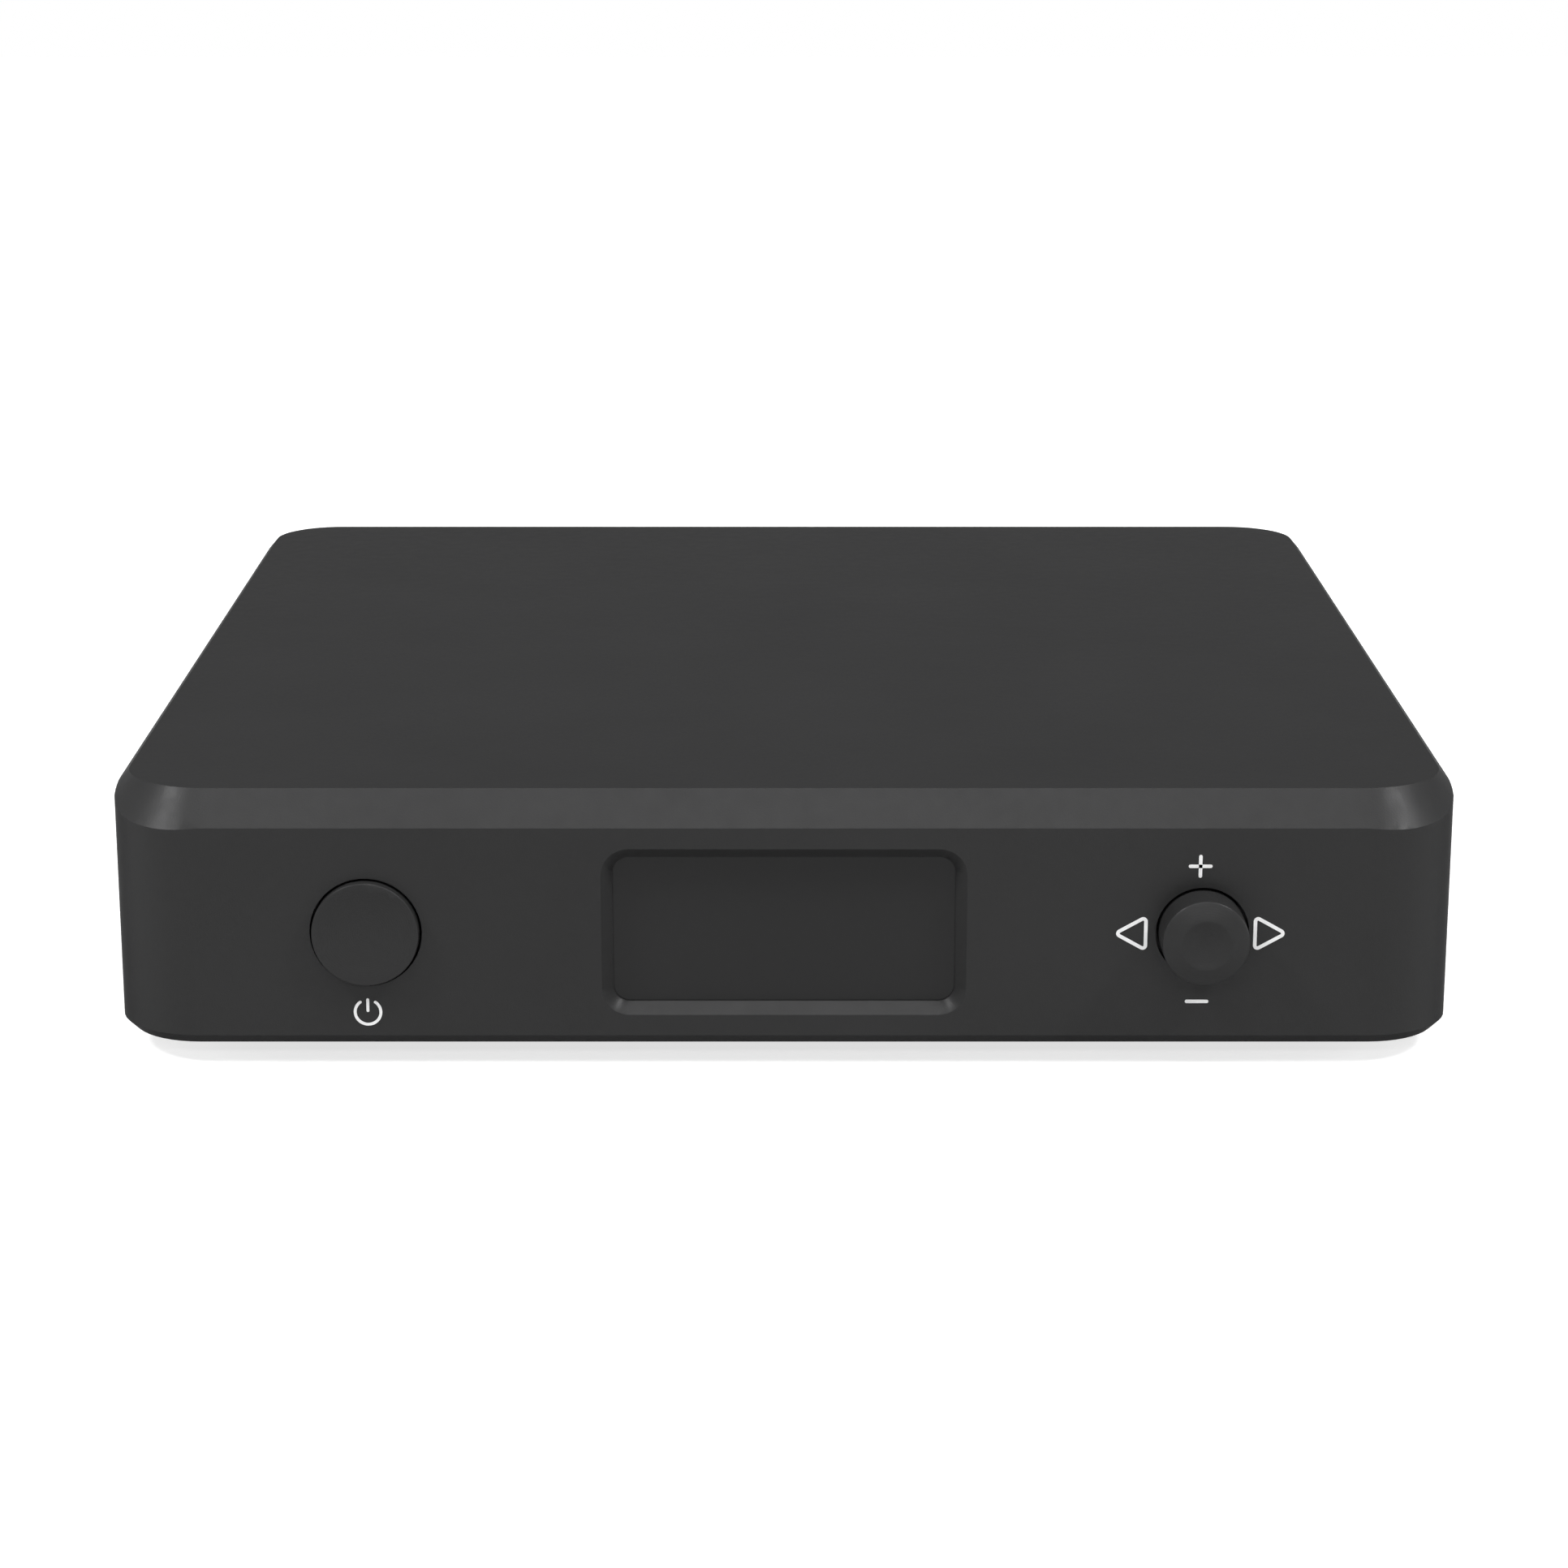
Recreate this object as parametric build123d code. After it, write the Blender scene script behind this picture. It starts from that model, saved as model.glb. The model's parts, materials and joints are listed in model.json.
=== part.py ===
from build123d import *
import math
import os

# Desktop DAC, millimetres. +Z is up, the front panel faces -Y and the sockets face +Y.
# The origin is under the middle of the whole outline, on the surface that the feet stand on.
# Every Y place is measured back from front_y or forward from rear_y, the two ends of the case.

# ---- overall ----
body_width = 129.0
body_depth = 130.0
body_height = 24.8
corner_radius = 8.4
foot_height = 2.0
stick_reach = 4.3          # joystick cap in front of the front panel
socket_reach = 9.0         # phono barrels behind the case

front_y = stick_reach - (stick_reach + body_depth + socket_reach) / 2
rear_y = front_y + body_depth
middle_y = (front_y + rear_y) / 2
bottom_z = foot_height
top_z = bottom_z + body_height

# ---- shell ----
side_wall = 2.4
front_wall = 3.0
rear_wall = 5.1
top_wall = 2.2
cavity_radius = 5.5
front_chamfer_depth = 2.75
front_chamfer_height = 3.2
edge_inset = 1.05          # top edge chamfer on the sides and the back
foot_chamfer = 1.0         # chamfer round the bottom edge
taper_height = 3.8         # height of the tapered crown that cuts the top chamfers
crown_angle = math.degrees(math.atan2(front_chamfer_depth, front_chamfer_height))
cavity_half = body_width / 2 - side_wall
cavity_front = front_y + front_wall
cavity_rear = rear_y - rear_wall
ceiling_z = top_z - top_wall
face_middle_z = bottom_z + (foot_chamfer + body_height - front_chamfer_height) / 2

# ---- bottom plate, its screws and the feet ----
plate_recess = 0.2
plate_thickness = 1.5
plate_gap = 0.2
plate_bottom = bottom_z + plate_recess
plate_top = plate_bottom + plate_thickness
pillar_width = 6.5
pillar_length = 7.0
pillar_front = 12.0        # from the front face to the front pillars' middle
pillar_rear = 9.6
pillar_inner = cavity_half - pillar_width
pillar_x = cavity_half - pillar_width / 2
pillar_ys = (front_y + pillar_front, middle_y, rear_y - pillar_rear)
plate_screw_radius = 1.5
plate_screw_head = 2.8
plate_screw_length = 8.0
thread_gap = 0.02
foot_radius = 5.5
foot_socket = 0.3
foot_inset_x = 14.0
foot_inset_y = 14.5
foot_edge = 0.5

# ---- rear panel ----
panel_recess = 0.5
panel_thickness = 1.6
panel_gap = 0.2
panel_radius = 1.5
panel_side_rim = 6.5
panel_edge_rim = 1.6       # case left under the panel
panel_top_rim = 2.4
panel_ledge = 5.0
panel_lip = 1.0            # width of the seat above and below the window
panel_half = body_width / 2 - panel_side_rim
panel_outer = rear_y - panel_recess
panel_inner = panel_outer - panel_thickness
panel_low = bottom_z + panel_edge_rim
panel_high = top_z - panel_top_rim
window_half = panel_half - panel_ledge
panel_screw_radius = 1.25
panel_screw_head = 2.2
panel_screw_length = 4.4
panel_screw_x = panel_half - 2.5
panel_screw_rise = 5.0     # from the panel's lower and upper edges

# ---- display ----
display_width = 32.7       # clear opening
display_height = 14.4
display_radius = 1.6
bevel_width = 1.05
bevel_depth = 1.1
window_land = 0.2
glass_lap = 1.5
glass_thickness = 1.2
glass_gap = 0.15
gasket_thickness = 0.3
tray_depth = 2.4
tray_sheet = 0.4
tray_wall = 0.9
screen_thickness = 1.6
screen_gap = 0.1
holder_wall = 2.8
glass_front = front_y + bevel_depth + window_land
glass_back = glass_front + glass_thickness
tray_front = glass_back + gasket_thickness
tray_back = tray_front + tray_depth
glass_width = display_width + 2 * glass_lap
glass_height = display_height + 2 * glass_lap
ribbon_width = 12.0
ribbon_thickness = 0.2
ribbon_drop = 3.0

# ---- front board ----
front_board_back = 10.2    # from the front face
board_thickness = 1.6
front_board_y = front_y + front_board_back - board_thickness
front_board_half = pillar_inner - 1.1
front_board_low = plate_top + 1.1
front_board_high = ceiling_z - 1.6
front_boss_radius = 2.6
front_boss_inner = glass_width / 2 + 8.15      # clear of the display
front_boss_outer = front_board_half - 3.5
front_boss_xs = (-front_boss_outer, -front_boss_inner, front_boss_inner, front_boss_outer)
front_screw_radius = 1.0
front_screw_head = 1.9
front_screw_head_height = 1.2
front_screw_length = 5.0

# ---- power button ----
control_inset = 24.7       # both controls, from the side of the case
control_offset = body_width / 2 - control_inset
button_radius = 5.1
button_clearance = 0.25
button_reach = 0.85
button_dish = 0.6
button_edge = 0.15
button_travel = 0.4
button_flange_lap = 0.95   # flange outside the hole in the front
button_flange_radius = button_radius + button_clearance + button_flange_lap
button_flange_gap = 0.15
button_flange_thickness = 0.85
button_nib_radius = 1.6
button_nib_length = 0.4
tact_width = 6.2
tact_height = 3.6
tact_plunger_radius = 1.7
tact_plunger_length = 1.2
tact_clearance = 0.05
tact_over_travel = 0.2
spring_radius = 4.95
spring_wire_radius = 0.2
spring_turns = 3

# ---- joystick ----
stick_radius = 4.15
stick_clearance = 0.3
stick_hole_radius = stick_radius + stick_clearance
stick_dome = 8.0           # radius of the domed face
stick_edge = 0.25
stick_dish_radius = 2.4    # fingertip hollow in the middle of the face
stick_dish = 0.45
stick_skirt = 1.9          # cap's back edge, behind the front face
pivot_depth = 3.6          # gimbal centre, behind the front face
stick_wall = 1.6           # front wall left at the joystick
stick_pocket = 15.0
switch_width = 13.0
switch_front = 2.4
switch_cavity = 10.4
switch_floor = 0.8
dome_radius = 1.5
dome_height = 0.9
ring_outer = 4.9
ring_inner = 3.7
ring_thickness = 1.4
cradle_radius = 3.0
cradle_thickness = 1.8
trunnion_radius = 0.55
trunnion_clearance = 0.05
trunnion_reach = 1.0
stem_radius = 1.3
stem_clearance = 0.05
stem_insertion = 3.0       # stem length inside the cap
stem_tail = 2.6            # stem behind the gimbal centre
stem_foot_radius = 2.0
stem_foot_height = 0.6
pivot_y = front_y + pivot_depth
stick_x = control_offset
button_x = -control_offset

# ---- main board ----
standoff_height = 3.2
standoff_radius = 2.5
board_side_gap = 2.0
board_front = 13.5
board_rear_gap = 0.5
board_screw_radius = 1.25
board_screw_head = 2.3
board_screw_head_height = 1.5
board_screw_end = 0.7      # kept clear above the bottom plate
board_low = plate_top + standoff_height
board_top = board_low + board_thickness
board_half = pillar_inner - board_side_gap
board_front_y = front_y + board_front
board_rear_y = cavity_rear - board_rear_gap
standoff_x = board_half - 5.5
standoff_front = board_front_y + 6.0
standoff_middle = middle_y + 12.0
standoff_rear = board_rear_y - 28.0
standoff_rear_x = -10.0

# ---- link between the boards ----
link_width = 16.0
link_socket_depth = 2.2
link_socket_height = 3.0
link_rise = 5.5            # cable level above the main board
link_strip = 0.25
link_landing = 5.0         # main board socket, behind the board's front edge

# ---- rear sockets ----
socket_rise = 5.9          # common axis height above the main board
socket_z = board_top + socket_rise
socket_gap = 1.5
panel_hole_gap = 0.25
phono_outer = 4.15
phono_inner = 3.5
phono_collar = phono_outer + 0.25    # the barrel where it is held
phono_nose = phono_collar + 0.5
phono_flange_radius = phono_nose + 0.5
phono_face = 2 * phono_flange_radius + 0.2
phono_flange_thickness = 0.9
phono_body_depth = 10.0
phono_body_rise = 5.3
phono_seat = 1.5           # barrel held this deep inside the panel
phono_floor = 1.6          # insulation in front of the panel, inside the barrel
phono_pin_outer = 1.95
phono_pin_inner = 1.6
phono_pin_recess = 0.8
phono_pin_tail = 4.0
jack_face = 15.0
jack_body_depth = 28.0
jack_end_wall = 2.4
jack_body_rise = 6.2
jack_bore = 3.2
jack_bush_outer = jack_bore + 1.5
jack_bush_length = 12.0
jack_reach = 4.0           # bush behind the rear panel
jack_nut_radius = jack_bush_outer + 1.7
jack_nut_thickness = 2.0
jack_spring_width = 2.4
jack_spring_thickness = 0.4
jack_spring_step = 5.6
jack_spring_sides = (-1, 1, -1)
jack_spring_gap = 0.3
jack_spring_relief = 0.05
usb_face = 12.0
usb_height = 10.8
usb_depth = 16.5
usb_reach = 0.4
usb_wall = 0.9
usb_tongue_width = 5.6
usb_tongue_height = 3.2
usb_tongue_recess = 1.4
usb_tongue_root = 5.0
optical_face = 10.6
optical_depth = 15.5
optical_opening = 8.4
optical_cavity = 10.9
optical_ceiling = 1.7      # recess over the plug's space that takes the open shutter
optical_roof = 0.8
optical_emitter_radius = 1.6
optical_emitter_length = 1.0
optical_emitter_tail = 3.0
shutter_thickness = 0.8
shutter_gap = 0.15
shutter_inset = 0.5
shutter_pin_radius = 0.45
shutter_pin_clearance = 0.05
shutter_pin_reach = 0.6
inlet_face = 9.0
inlet_depth = 14.0
inlet_rise = 5.4
inlet_bore = 3.15
inlet_bore_depth = 9.5
inlet_pin_radius = 1.05
inlet_pin_length = 8.6
inlet_pin_tail = 2.5
inlet_pin_root = 1.3       # radius of the pin where the body holds it
inlet_reach = 0.4

# ---- parts on the main board ----
relay_size = (10.0, 7.5, 5.6)
relay_gap = 9.15           # between the relays and the jack sockets
relay_xs = (14.0, 36.0)
relay_y = panel_inner - jack_body_depth - relay_gap - relay_size[1] / 2 - middle_y
shield_size = (42.0, 32.0, 6.5)
shield_gap = 9.25          # between the shield and the relays
shield_place = (25.0, relay_y - (relay_size[1] + shield_size[1]) / 2 - shield_gap)
shield_sheet = 0.4
dac_chip_size = (9.0, 9.0, 1.2)
bridge_chip_size = (12.0, 12.0, 1.2)
bridge_chip_place = (-30.0, 14.0)
oscillator_size = (7.0, 5.0, 1.5)
oscillator_places = ((-11.0, 2.0), (-11.0, 11.0))
inductor_size = (6.6, 6.6, 3.0)
inductor_places = ((-46.0, -4.0), (-46.0, 24.0), (-36.0, 30.0))
inductor_edge = 0.8
capacitor_radius = 3.15
capacitor_height = 7.7
capacitor_columns = 4
capacitor_rows = 2
capacitor_pitch = 8.0
capacitor_place = (-28.0, -22.0)
capacitor_edge = 0.4

os.makedirs("parts", exist_ok=True)


def block(xs, ys, zs):
    """A box given by its lowest and highest X, Y and Z."""
    size = [high - low for low, high in (xs, ys, zs)]
    middle = [(low + high) / 2 for low, high in (xs, ys, zs)]
    return Pos(*middle) * Box(*size)


def around(middle, width):
    """The span of a width about its middle."""
    return (middle - width / 2, middle + width / 2)


def rod_y(radius, x, z, ys):
    """A round bar along Y."""
    bar = Rot(-90, 0, 0) * Cylinder(radius, ys[1] - ys[0])
    return Pos(x, sum(ys) / 2, z) * bar


def rod_z(radius, x, y, zs):
    """A round bar along Z."""
    return Pos(x, y, sum(zs) / 2) * Cylinder(radius, zs[1] - zs[0])


def rod_x(radius, y, z, xs):
    """A round bar along X."""
    bar = Rot(0, 90, 0) * Cylinder(radius, xs[1] - xs[0])
    return Pos(sum(xs) / 2, y, z) * bar


def slab_y(width, height, radius, x, z, ys):
    """An upright plate with rounded corners, thick along Y."""
    face = Plane(origin=(x, ys[0], z), x_dir=(1, 0, 0), z_dir=(0, 1, 0))
    return extrude(face * RectangleRounded(width, height, radius), ys[1] - ys[0])


def slab_z(xs, ys, radius, zs):
    """A flat plate with rounded corners, thick along Z."""
    outline = RectangleRounded(xs[1] - xs[0], ys[1] - ys[0], radius)
    return extrude(Pos(sum(xs) / 2, sum(ys) / 2, zs[0]) * outline, zs[1] - zs[0])


def screw(radius, length, head_radius, head_height, sunk):
    """A screw whose head faces +Z. A sunk head ends at z = 0, a pan head stands on z = 0."""
    shank = rod_z(radius, 0, 0, (-length, 0))
    if sunk:
        head_height = head_radius - radius
        head = Pos(0, 0, -head_height / 2) * Cone(radius, head_radius, head_height)
        face_z = 0
    else:
        head = rod_z(head_radius, 0, 0, (0, head_height))
        face_z = head_height
    socket = Pos(0, 0, face_z) * RegularPolygon(radius * 0.7, 6)
    return shank + head - extrude(socket, -radius * 0.8)


def sunk_hole(radius, head_radius, gap, depth):
    """The hole for a sunk screw whose head faces +Z at z = 0."""
    head_height = head_radius - radius
    cone = Pos(0, 0, -head_height / 2) * Cone(radius + gap, head_radius + gap, head_height)
    return cone + rod_z(radius + gap, 0, 0, (-depth, 0))


def facing(direction, x, y, z):
    """Places a piece made facing +Z so that it faces -Z, -Y or +Y."""
    turn = {"down": Rot(180, 0, 0), "front": Rot(90, 0, 0), "rear": Rot(-90, 0, 0)}
    return Pos(x, y, z) * turn[direction]


def save(name, *solids):
    """Writes one node, a single piece or a group of separate identical ones."""
    pieces = [solid for shape in solids for solid in shape.solids()]
    node = pieces[0] if len(pieces) == 1 else Compound(children=pieces)
    export_step(node, "parts/" + name + ".step")


# ---- case ----

def crown():
    """The tapered top: one slope all round, wide at the front and narrow at the sides and back."""
    half = body_width / 2 - edge_inset
    front = front_y + front_chamfer_depth
    rear = rear_y - edge_inset
    back_radius = corner_radius - edge_inset
    rectangle = Pos(0, (front + rear) / 2) * Rectangle(2 * half, rear - front)
    corners = rectangle.vertices().sort_by(Axis.Y)
    outline = fillet(corners[:2], corner_radius)
    corners = outline.vertices().filter_by(lambda v: v.Y > rear - back_radius / 2)
    outline = fillet(corners, back_radius)
    taper = extrude(Pos(0, 0, top_z) * outline, -taper_height, taper=-crown_angle)
    base = block(around(0, 2 * body_width), around(middle_y, 2 * body_depth),
                 (bottom_z, top_z - taper_height))
    return taper + base


def top_shell():
    body = slab_z(around(0, body_width), (front_y, rear_y), corner_radius, (bottom_z, top_z))
    body = chamfer(body.edges().group_by(Axis.Z)[0], foot_chamfer)
    body = body & crown()
    body -= slab_z((-cavity_half, cavity_half), (cavity_front, cavity_rear), cavity_radius,
                   (bottom_z, ceiling_z))
    for side in (-1, 1):
        for y in pillar_ys:
            xs = sorted((side * pillar_inner, side * (cavity_half + side_wall / 2)))
            body += block(xs, around(y, pillar_length), (plate_top, ceiling_z + top_wall / 2))
    for x in front_boss_xs:
        body += rod_y(front_boss_radius, x, face_middle_z, (front_y + front_wall / 2, front_board_y))
    body -= rear_opening()
    body -= display_opening()
    body -= rod_y(button_radius + button_clearance, button_x, face_middle_z,
                  (front_y, cavity_front))
    body -= rod_y(stick_hole_radius, stick_x, face_middle_z, (front_y, cavity_front))
    body -= block(around(stick_x, stick_pocket), (front_y + stick_wall, cavity_front),
                  around(face_middle_z, stick_pocket))
    for place in plate_screw_places():
        body -= place * rod_z(plate_screw_radius + thread_gap, 0, 0, (-plate_screw_length, 0))
    for place in panel_screw_places():
        body -= place * rod_z(panel_screw_radius + thread_gap, 0, 0, (-rear_wall, 0))
    for x in front_boss_xs:
        hole = (front_board_y - front_screw_length + board_thickness, front_board_y)
        body -= rod_y(front_screw_radius + thread_gap, x, face_middle_z, hole)
    return body


def rear_opening():
    """The seat for the rear panel and the window that the sockets come through."""
    middle = (panel_low + panel_high) / 2
    seat = slab_y(2 * panel_half, panel_high - panel_low, panel_radius, 0, middle,
                  (panel_inner, rear_y))
    window = block((-window_half, window_half), (cavity_rear, rear_y),
                   (panel_low + panel_lip, panel_high - panel_lip))
    return seat + window


def display_opening():
    """The bevelled window in the front and the pocket behind it that locates the glass."""
    mouth = Plane(origin=(0, front_y, face_middle_z), x_dir=(1, 0, 0), z_dir=(0, 1, 0))
    throat = mouth.offset(bevel_depth)
    wide = RectangleRounded(display_width + 2 * bevel_width, display_height + 2 * bevel_width,
                            display_radius + bevel_width)
    narrow = RectangleRounded(display_width, display_height, display_radius)
    bevel = loft([mouth * wide, throat * narrow], ruled=True)
    land = extrude(throat * narrow, front_wall)
    pocket = slab_y(glass_width + 2 * glass_gap, glass_height + 2 * glass_gap, display_radius,
                    0, face_middle_z, (glass_front, cavity_front))
    return bevel + land + pocket


def plate_screw_places():
    return [facing("down", side * pillar_x, y, plate_bottom) for side in (-1, 1) for y in pillar_ys]


def foot_places():
    xs = (foot_inset_x - body_width / 2, body_width / 2 - foot_inset_x)
    ys = (front_y + foot_inset_y, rear_y - foot_inset_y)
    return [(x, y) for x in xs for y in ys]


def bottom_plate():
    half = cavity_half - plate_gap
    plate = slab_z((-half, half), (cavity_front + plate_gap, cavity_rear - plate_gap),
                   cavity_radius - plate_gap, (plate_bottom, plate_top))
    for place in plate_screw_places():
        plate -= place * sunk_hole(plate_screw_radius, plate_screw_head, thread_gap, plate_thickness)
    for x, y in foot_places():
        plate -= rod_z(foot_radius + thread_gap, x, y, (plate_bottom, plate_bottom + foot_socket))
    return plate


def feet():
    pieces = []
    for x, y in foot_places():
        foot = rod_z(foot_radius, x, y, (0, plate_bottom + foot_socket))
        pieces.append(chamfer(foot.edges().group_by(Axis.Z)[0], foot_edge))
    return pieces


def panel_screw_places():
    zs = (panel_low + panel_screw_rise, panel_high - panel_screw_rise)
    return [facing("rear", side * panel_screw_x, panel_outer, z) for side in (-1, 1) for z in zs]


def socket_row():
    """The X of each rear socket, laid out side by side about the middle of the panel."""
    faces = (("inlet", inlet_face), ("usb", usb_face), ("optical", optical_face),
             ("coax", phono_face), ("phono_right", phono_face), ("phono_left", phono_face),
             ("jack_right", jack_face), ("jack_left", jack_face))
    x = -(sum(face for _, face in faces) + socket_gap * (len(faces) - 1)) / 2
    places = {}
    for name, face in faces:
        places[name] = x + face / 2
        x += face + socket_gap
    return places


sockets = socket_row()


def rear_panel():
    middle = (panel_low + panel_high) / 2
    through = (panel_inner, panel_outer)
    panel = slab_y(2 * (panel_half - panel_gap), panel_high - panel_low - 2 * panel_gap,
                   panel_radius - panel_gap, 0, middle, through)
    for place in panel_screw_places():
        panel -= place * sunk_hole(panel_screw_radius, panel_screw_head, thread_gap, panel_thickness)
    for name in ("coax", "phono_right", "phono_left"):
        panel -= rod_y(phono_nose + panel_hole_gap, sockets[name], socket_z, through)
    for name in ("jack_right", "jack_left"):
        panel -= rod_y(jack_bush_outer + panel_hole_gap, sockets[name], socket_z, through)
    panel -= block(around(sockets["usb"], usb_face + 2 * panel_hole_gap), through,
                   around(socket_z, usb_height + 2 * panel_hole_gap))
    opening = optical_opening + 2 * panel_hole_gap
    panel -= block(around(sockets["optical"], opening), through, around(socket_z, opening))
    panel -= rod_y(inlet_bore + inlet_reach + panel_hole_gap, sockets["inlet"], socket_z, through)
    return panel


# ---- display ----

def display_window():
    return slab_y(glass_width, glass_height, display_radius, 0, face_middle_z,
                  (glass_front, glass_back))


def window_gasket():
    span = (glass_back, tray_front)
    ring = slab_y(glass_width, glass_height, display_radius, 0, face_middle_z, span)
    return ring - slab_y(display_width, display_height, display_radius, 0, face_middle_z, span)


def display_tray():
    tray = slab_y(glass_width, glass_height, display_radius, 0, face_middle_z,
                  (tray_front, tray_back))
    tray -= slab_y(glass_width - 2 * tray_wall, glass_height - 2 * tray_wall,
                   display_radius - tray_wall, 0, face_middle_z,
                   (tray_front + tray_sheet, tray_back))
    return tray - slab_y(display_width, display_height, display_radius, 0, face_middle_z,
                         (tray_front, tray_back))


def display_screen():
    start = tray_front + tray_sheet
    side = 2 * (tray_wall + screen_gap)
    return slab_y(glass_width - side, glass_height - side, display_radius - tray_wall, 0,
                  face_middle_z, (start, start + screen_thickness))


def display_holder():
    span = (tray_back, front_board_y)
    holder = slab_y(glass_width, glass_height, display_radius, 0, face_middle_z, span)
    return holder - block(around(0, glass_width - 2 * holder_wall), span,
                          around(face_middle_z, glass_height - 2 * holder_wall))


def display_ribbon():
    """A flat cable from the back of the screen down to the front board."""
    start = tray_front + tray_sheet + screen_thickness
    low = face_middle_z - ribbon_drop
    high = face_middle_z + ribbon_drop
    width = around(0, ribbon_width)
    ribbon = block(width, (start, start + ribbon_thickness), (low, high))
    ribbon += block(width, (start, front_board_y), (low, low + ribbon_thickness))
    return ribbon + block(width, (front_board_y - ribbon_thickness, front_board_y),
                          (low - ribbon_thickness, low + ribbon_thickness))


# ---- front board ----

def front_board():
    span = (front_board_y, front_board_y + board_thickness)
    board = block((-front_board_half, front_board_half), span, (front_board_low, front_board_high))
    for x in front_boss_xs:
        board -= rod_y(front_screw_radius + thread_gap, x, face_middle_z, span)
    return board


def front_board_screws():
    back = front_board_y + board_thickness
    return [facing("rear", x, back, face_middle_z)
            * screw(front_screw_radius, front_screw_length, front_screw_head,
                    front_screw_head_height, False) for x in front_boss_xs]


# ---- power button ----

button_flange_front = cavity_front + button_flange_gap
button_flange_back = button_flange_front + button_flange_thickness
tact_front = front_board_y - tact_height
tact_plunger_front = button_flange_back + button_nib_length
tact_plunger_back = tact_front + tact_plunger_length - button_nib_length


def dished(body, x, z, face_y, rim, dish):
    """Hollows a round face that looks along -Y, dish deep at its middle, with the given rim radius."""
    ball = (rim * rim + dish * dish) / (2 * dish)
    return body - Pos(x, face_y + dish - ball, z) * Sphere(ball)


def power_button_cap():
    face = front_y - button_reach
    cap = rod_y(button_radius, button_x, face_middle_z, (face, button_flange_back))
    cap = fillet(cap.edges().group_by(Axis.Y)[0], button_edge)
    cap = dished(cap, button_x, face_middle_z, face, button_radius - button_edge, button_dish)
    cap += rod_y(button_flange_radius, button_x, face_middle_z,
                 (button_flange_front, button_flange_back))
    return cap + rod_y(button_nib_radius, button_x, face_middle_z,
                       (button_flange_back, tact_plunger_front))


def power_switch_plunger():
    return rod_y(tact_plunger_radius, button_x, face_middle_z,
                 (tact_plunger_front, tact_plunger_back))


def power_switch_body():
    body = block(around(button_x, tact_width), (tact_front, front_board_y),
                 around(face_middle_z, tact_width))
    depth = tact_plunger_back + button_travel + tact_over_travel
    return body - rod_y(tact_plunger_radius + tact_clearance, button_x, face_middle_z,
                        (tact_front, depth))


def power_button_spring():
    """A coil spring round the switch, from the board to the back of the cap."""
    length = front_board_y - button_flange_back - 2 * spring_wire_radius
    path = Helix(pitch=length / spring_turns, height=length, radius=spring_radius)
    start = path @ 0
    wire = Plane(origin=start, z_dir=path % 0) * Circle(spring_wire_radius)
    coil = sweep(wire, path=path)
    return Pos(button_x, button_flange_back + spring_wire_radius, face_middle_z) * (Rot(-90, 0, 0) * coil)


# ---- joystick ----

def joystick_cap():
    """A round cap with a domed face and a hollow for the fingertip."""
    face = front_y - stick_reach
    pole = face - stick_dome + math.sqrt(stick_dome ** 2 - stick_dish_radius ** 2)
    cap = rod_y(stick_radius, stick_x, face_middle_z, (pole, front_y + stick_skirt))
    cap = cap & Pos(stick_x, pole + stick_dome, face_middle_z) * Sphere(stick_dome)
    rims = cap.edges().sort_by(SortBy.LENGTH)[-2:]
    cap = fillet(rims.sort_by(Axis.Y)[0], stick_edge)
    cap = dished(cap, stick_x, face_middle_z, face, stick_dish_radius, stick_dish)
    socket = (front_y + stick_skirt - stem_insertion, front_y + stick_skirt)
    return cap - rod_y(stem_radius + thread_gap, stick_x, face_middle_z, socket)


def stick_stem():
    end = pivot_y + stem_tail
    stem = rod_y(stem_radius, stick_x, face_middle_z,
                 (front_y + stick_skirt - stem_insertion, end))
    return stem + rod_y(stem_foot_radius, stick_x, face_middle_z, (end - stem_foot_height, end))


def stick_cradle():
    span = around(pivot_y, cradle_thickness)
    cradle = rod_y(cradle_radius, stick_x, face_middle_z, span)
    reach = (ring_inner + ring_outer) / 2
    cradle += rod_x(trunnion_radius, pivot_y, face_middle_z, around(stick_x, 2 * reach))
    return cradle - rod_y(stem_radius + stem_clearance, stick_x, face_middle_z, span)


def stick_ring():
    span = around(pivot_y, ring_thickness)
    ring = rod_y(ring_outer, stick_x, face_middle_z, span)
    reach = switch_cavity / 2 + trunnion_reach
    ring += rod_z(trunnion_radius, stick_x, pivot_y, around(face_middle_z, 2 * reach))
    ring -= rod_y(ring_inner, stick_x, face_middle_z, span)
    hole = trunnion_radius + trunnion_clearance
    return ring - rod_x(hole, pivot_y, face_middle_z, around(stick_x, 2 * ring_outer))


def stick_switch_body():
    front = front_y + switch_front
    floor = front_board_y - switch_floor
    body = block(around(stick_x, switch_width), (front, front_board_y),
                 around(face_middle_z, switch_width))
    body -= block(around(stick_x, switch_cavity), (front, floor),
                  around(face_middle_z, switch_cavity))
    hole = trunnion_radius + trunnion_clearance
    body -= rod_z(hole, stick_x, pivot_y, around(face_middle_z, switch_width))
    return body + rod_y(dome_radius, stick_x, face_middle_z, (floor - dome_height, floor))


# ---- main board ----

def standoff_places():
    sides = [(side * standoff_x, y) for side in (-1, 1) for y in (standoff_front, standoff_middle)]
    return sides + [(standoff_rear_x, standoff_rear)]


def main_board():
    board = block((-board_half, board_half), (board_front_y, board_rear_y), (board_low, board_top))
    for x, y in standoff_places():
        board -= rod_z(board_screw_radius + thread_gap, x, y, (board_low, board_top))
    return board


def board_standoffs():
    pieces = []
    for x, y in standoff_places():
        post = rod_z(standoff_radius, x, y, (plate_top, board_low))
        pieces.append(post - rod_z(board_screw_radius + thread_gap, x, y, (plate_top, board_low)))
    return pieces


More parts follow.
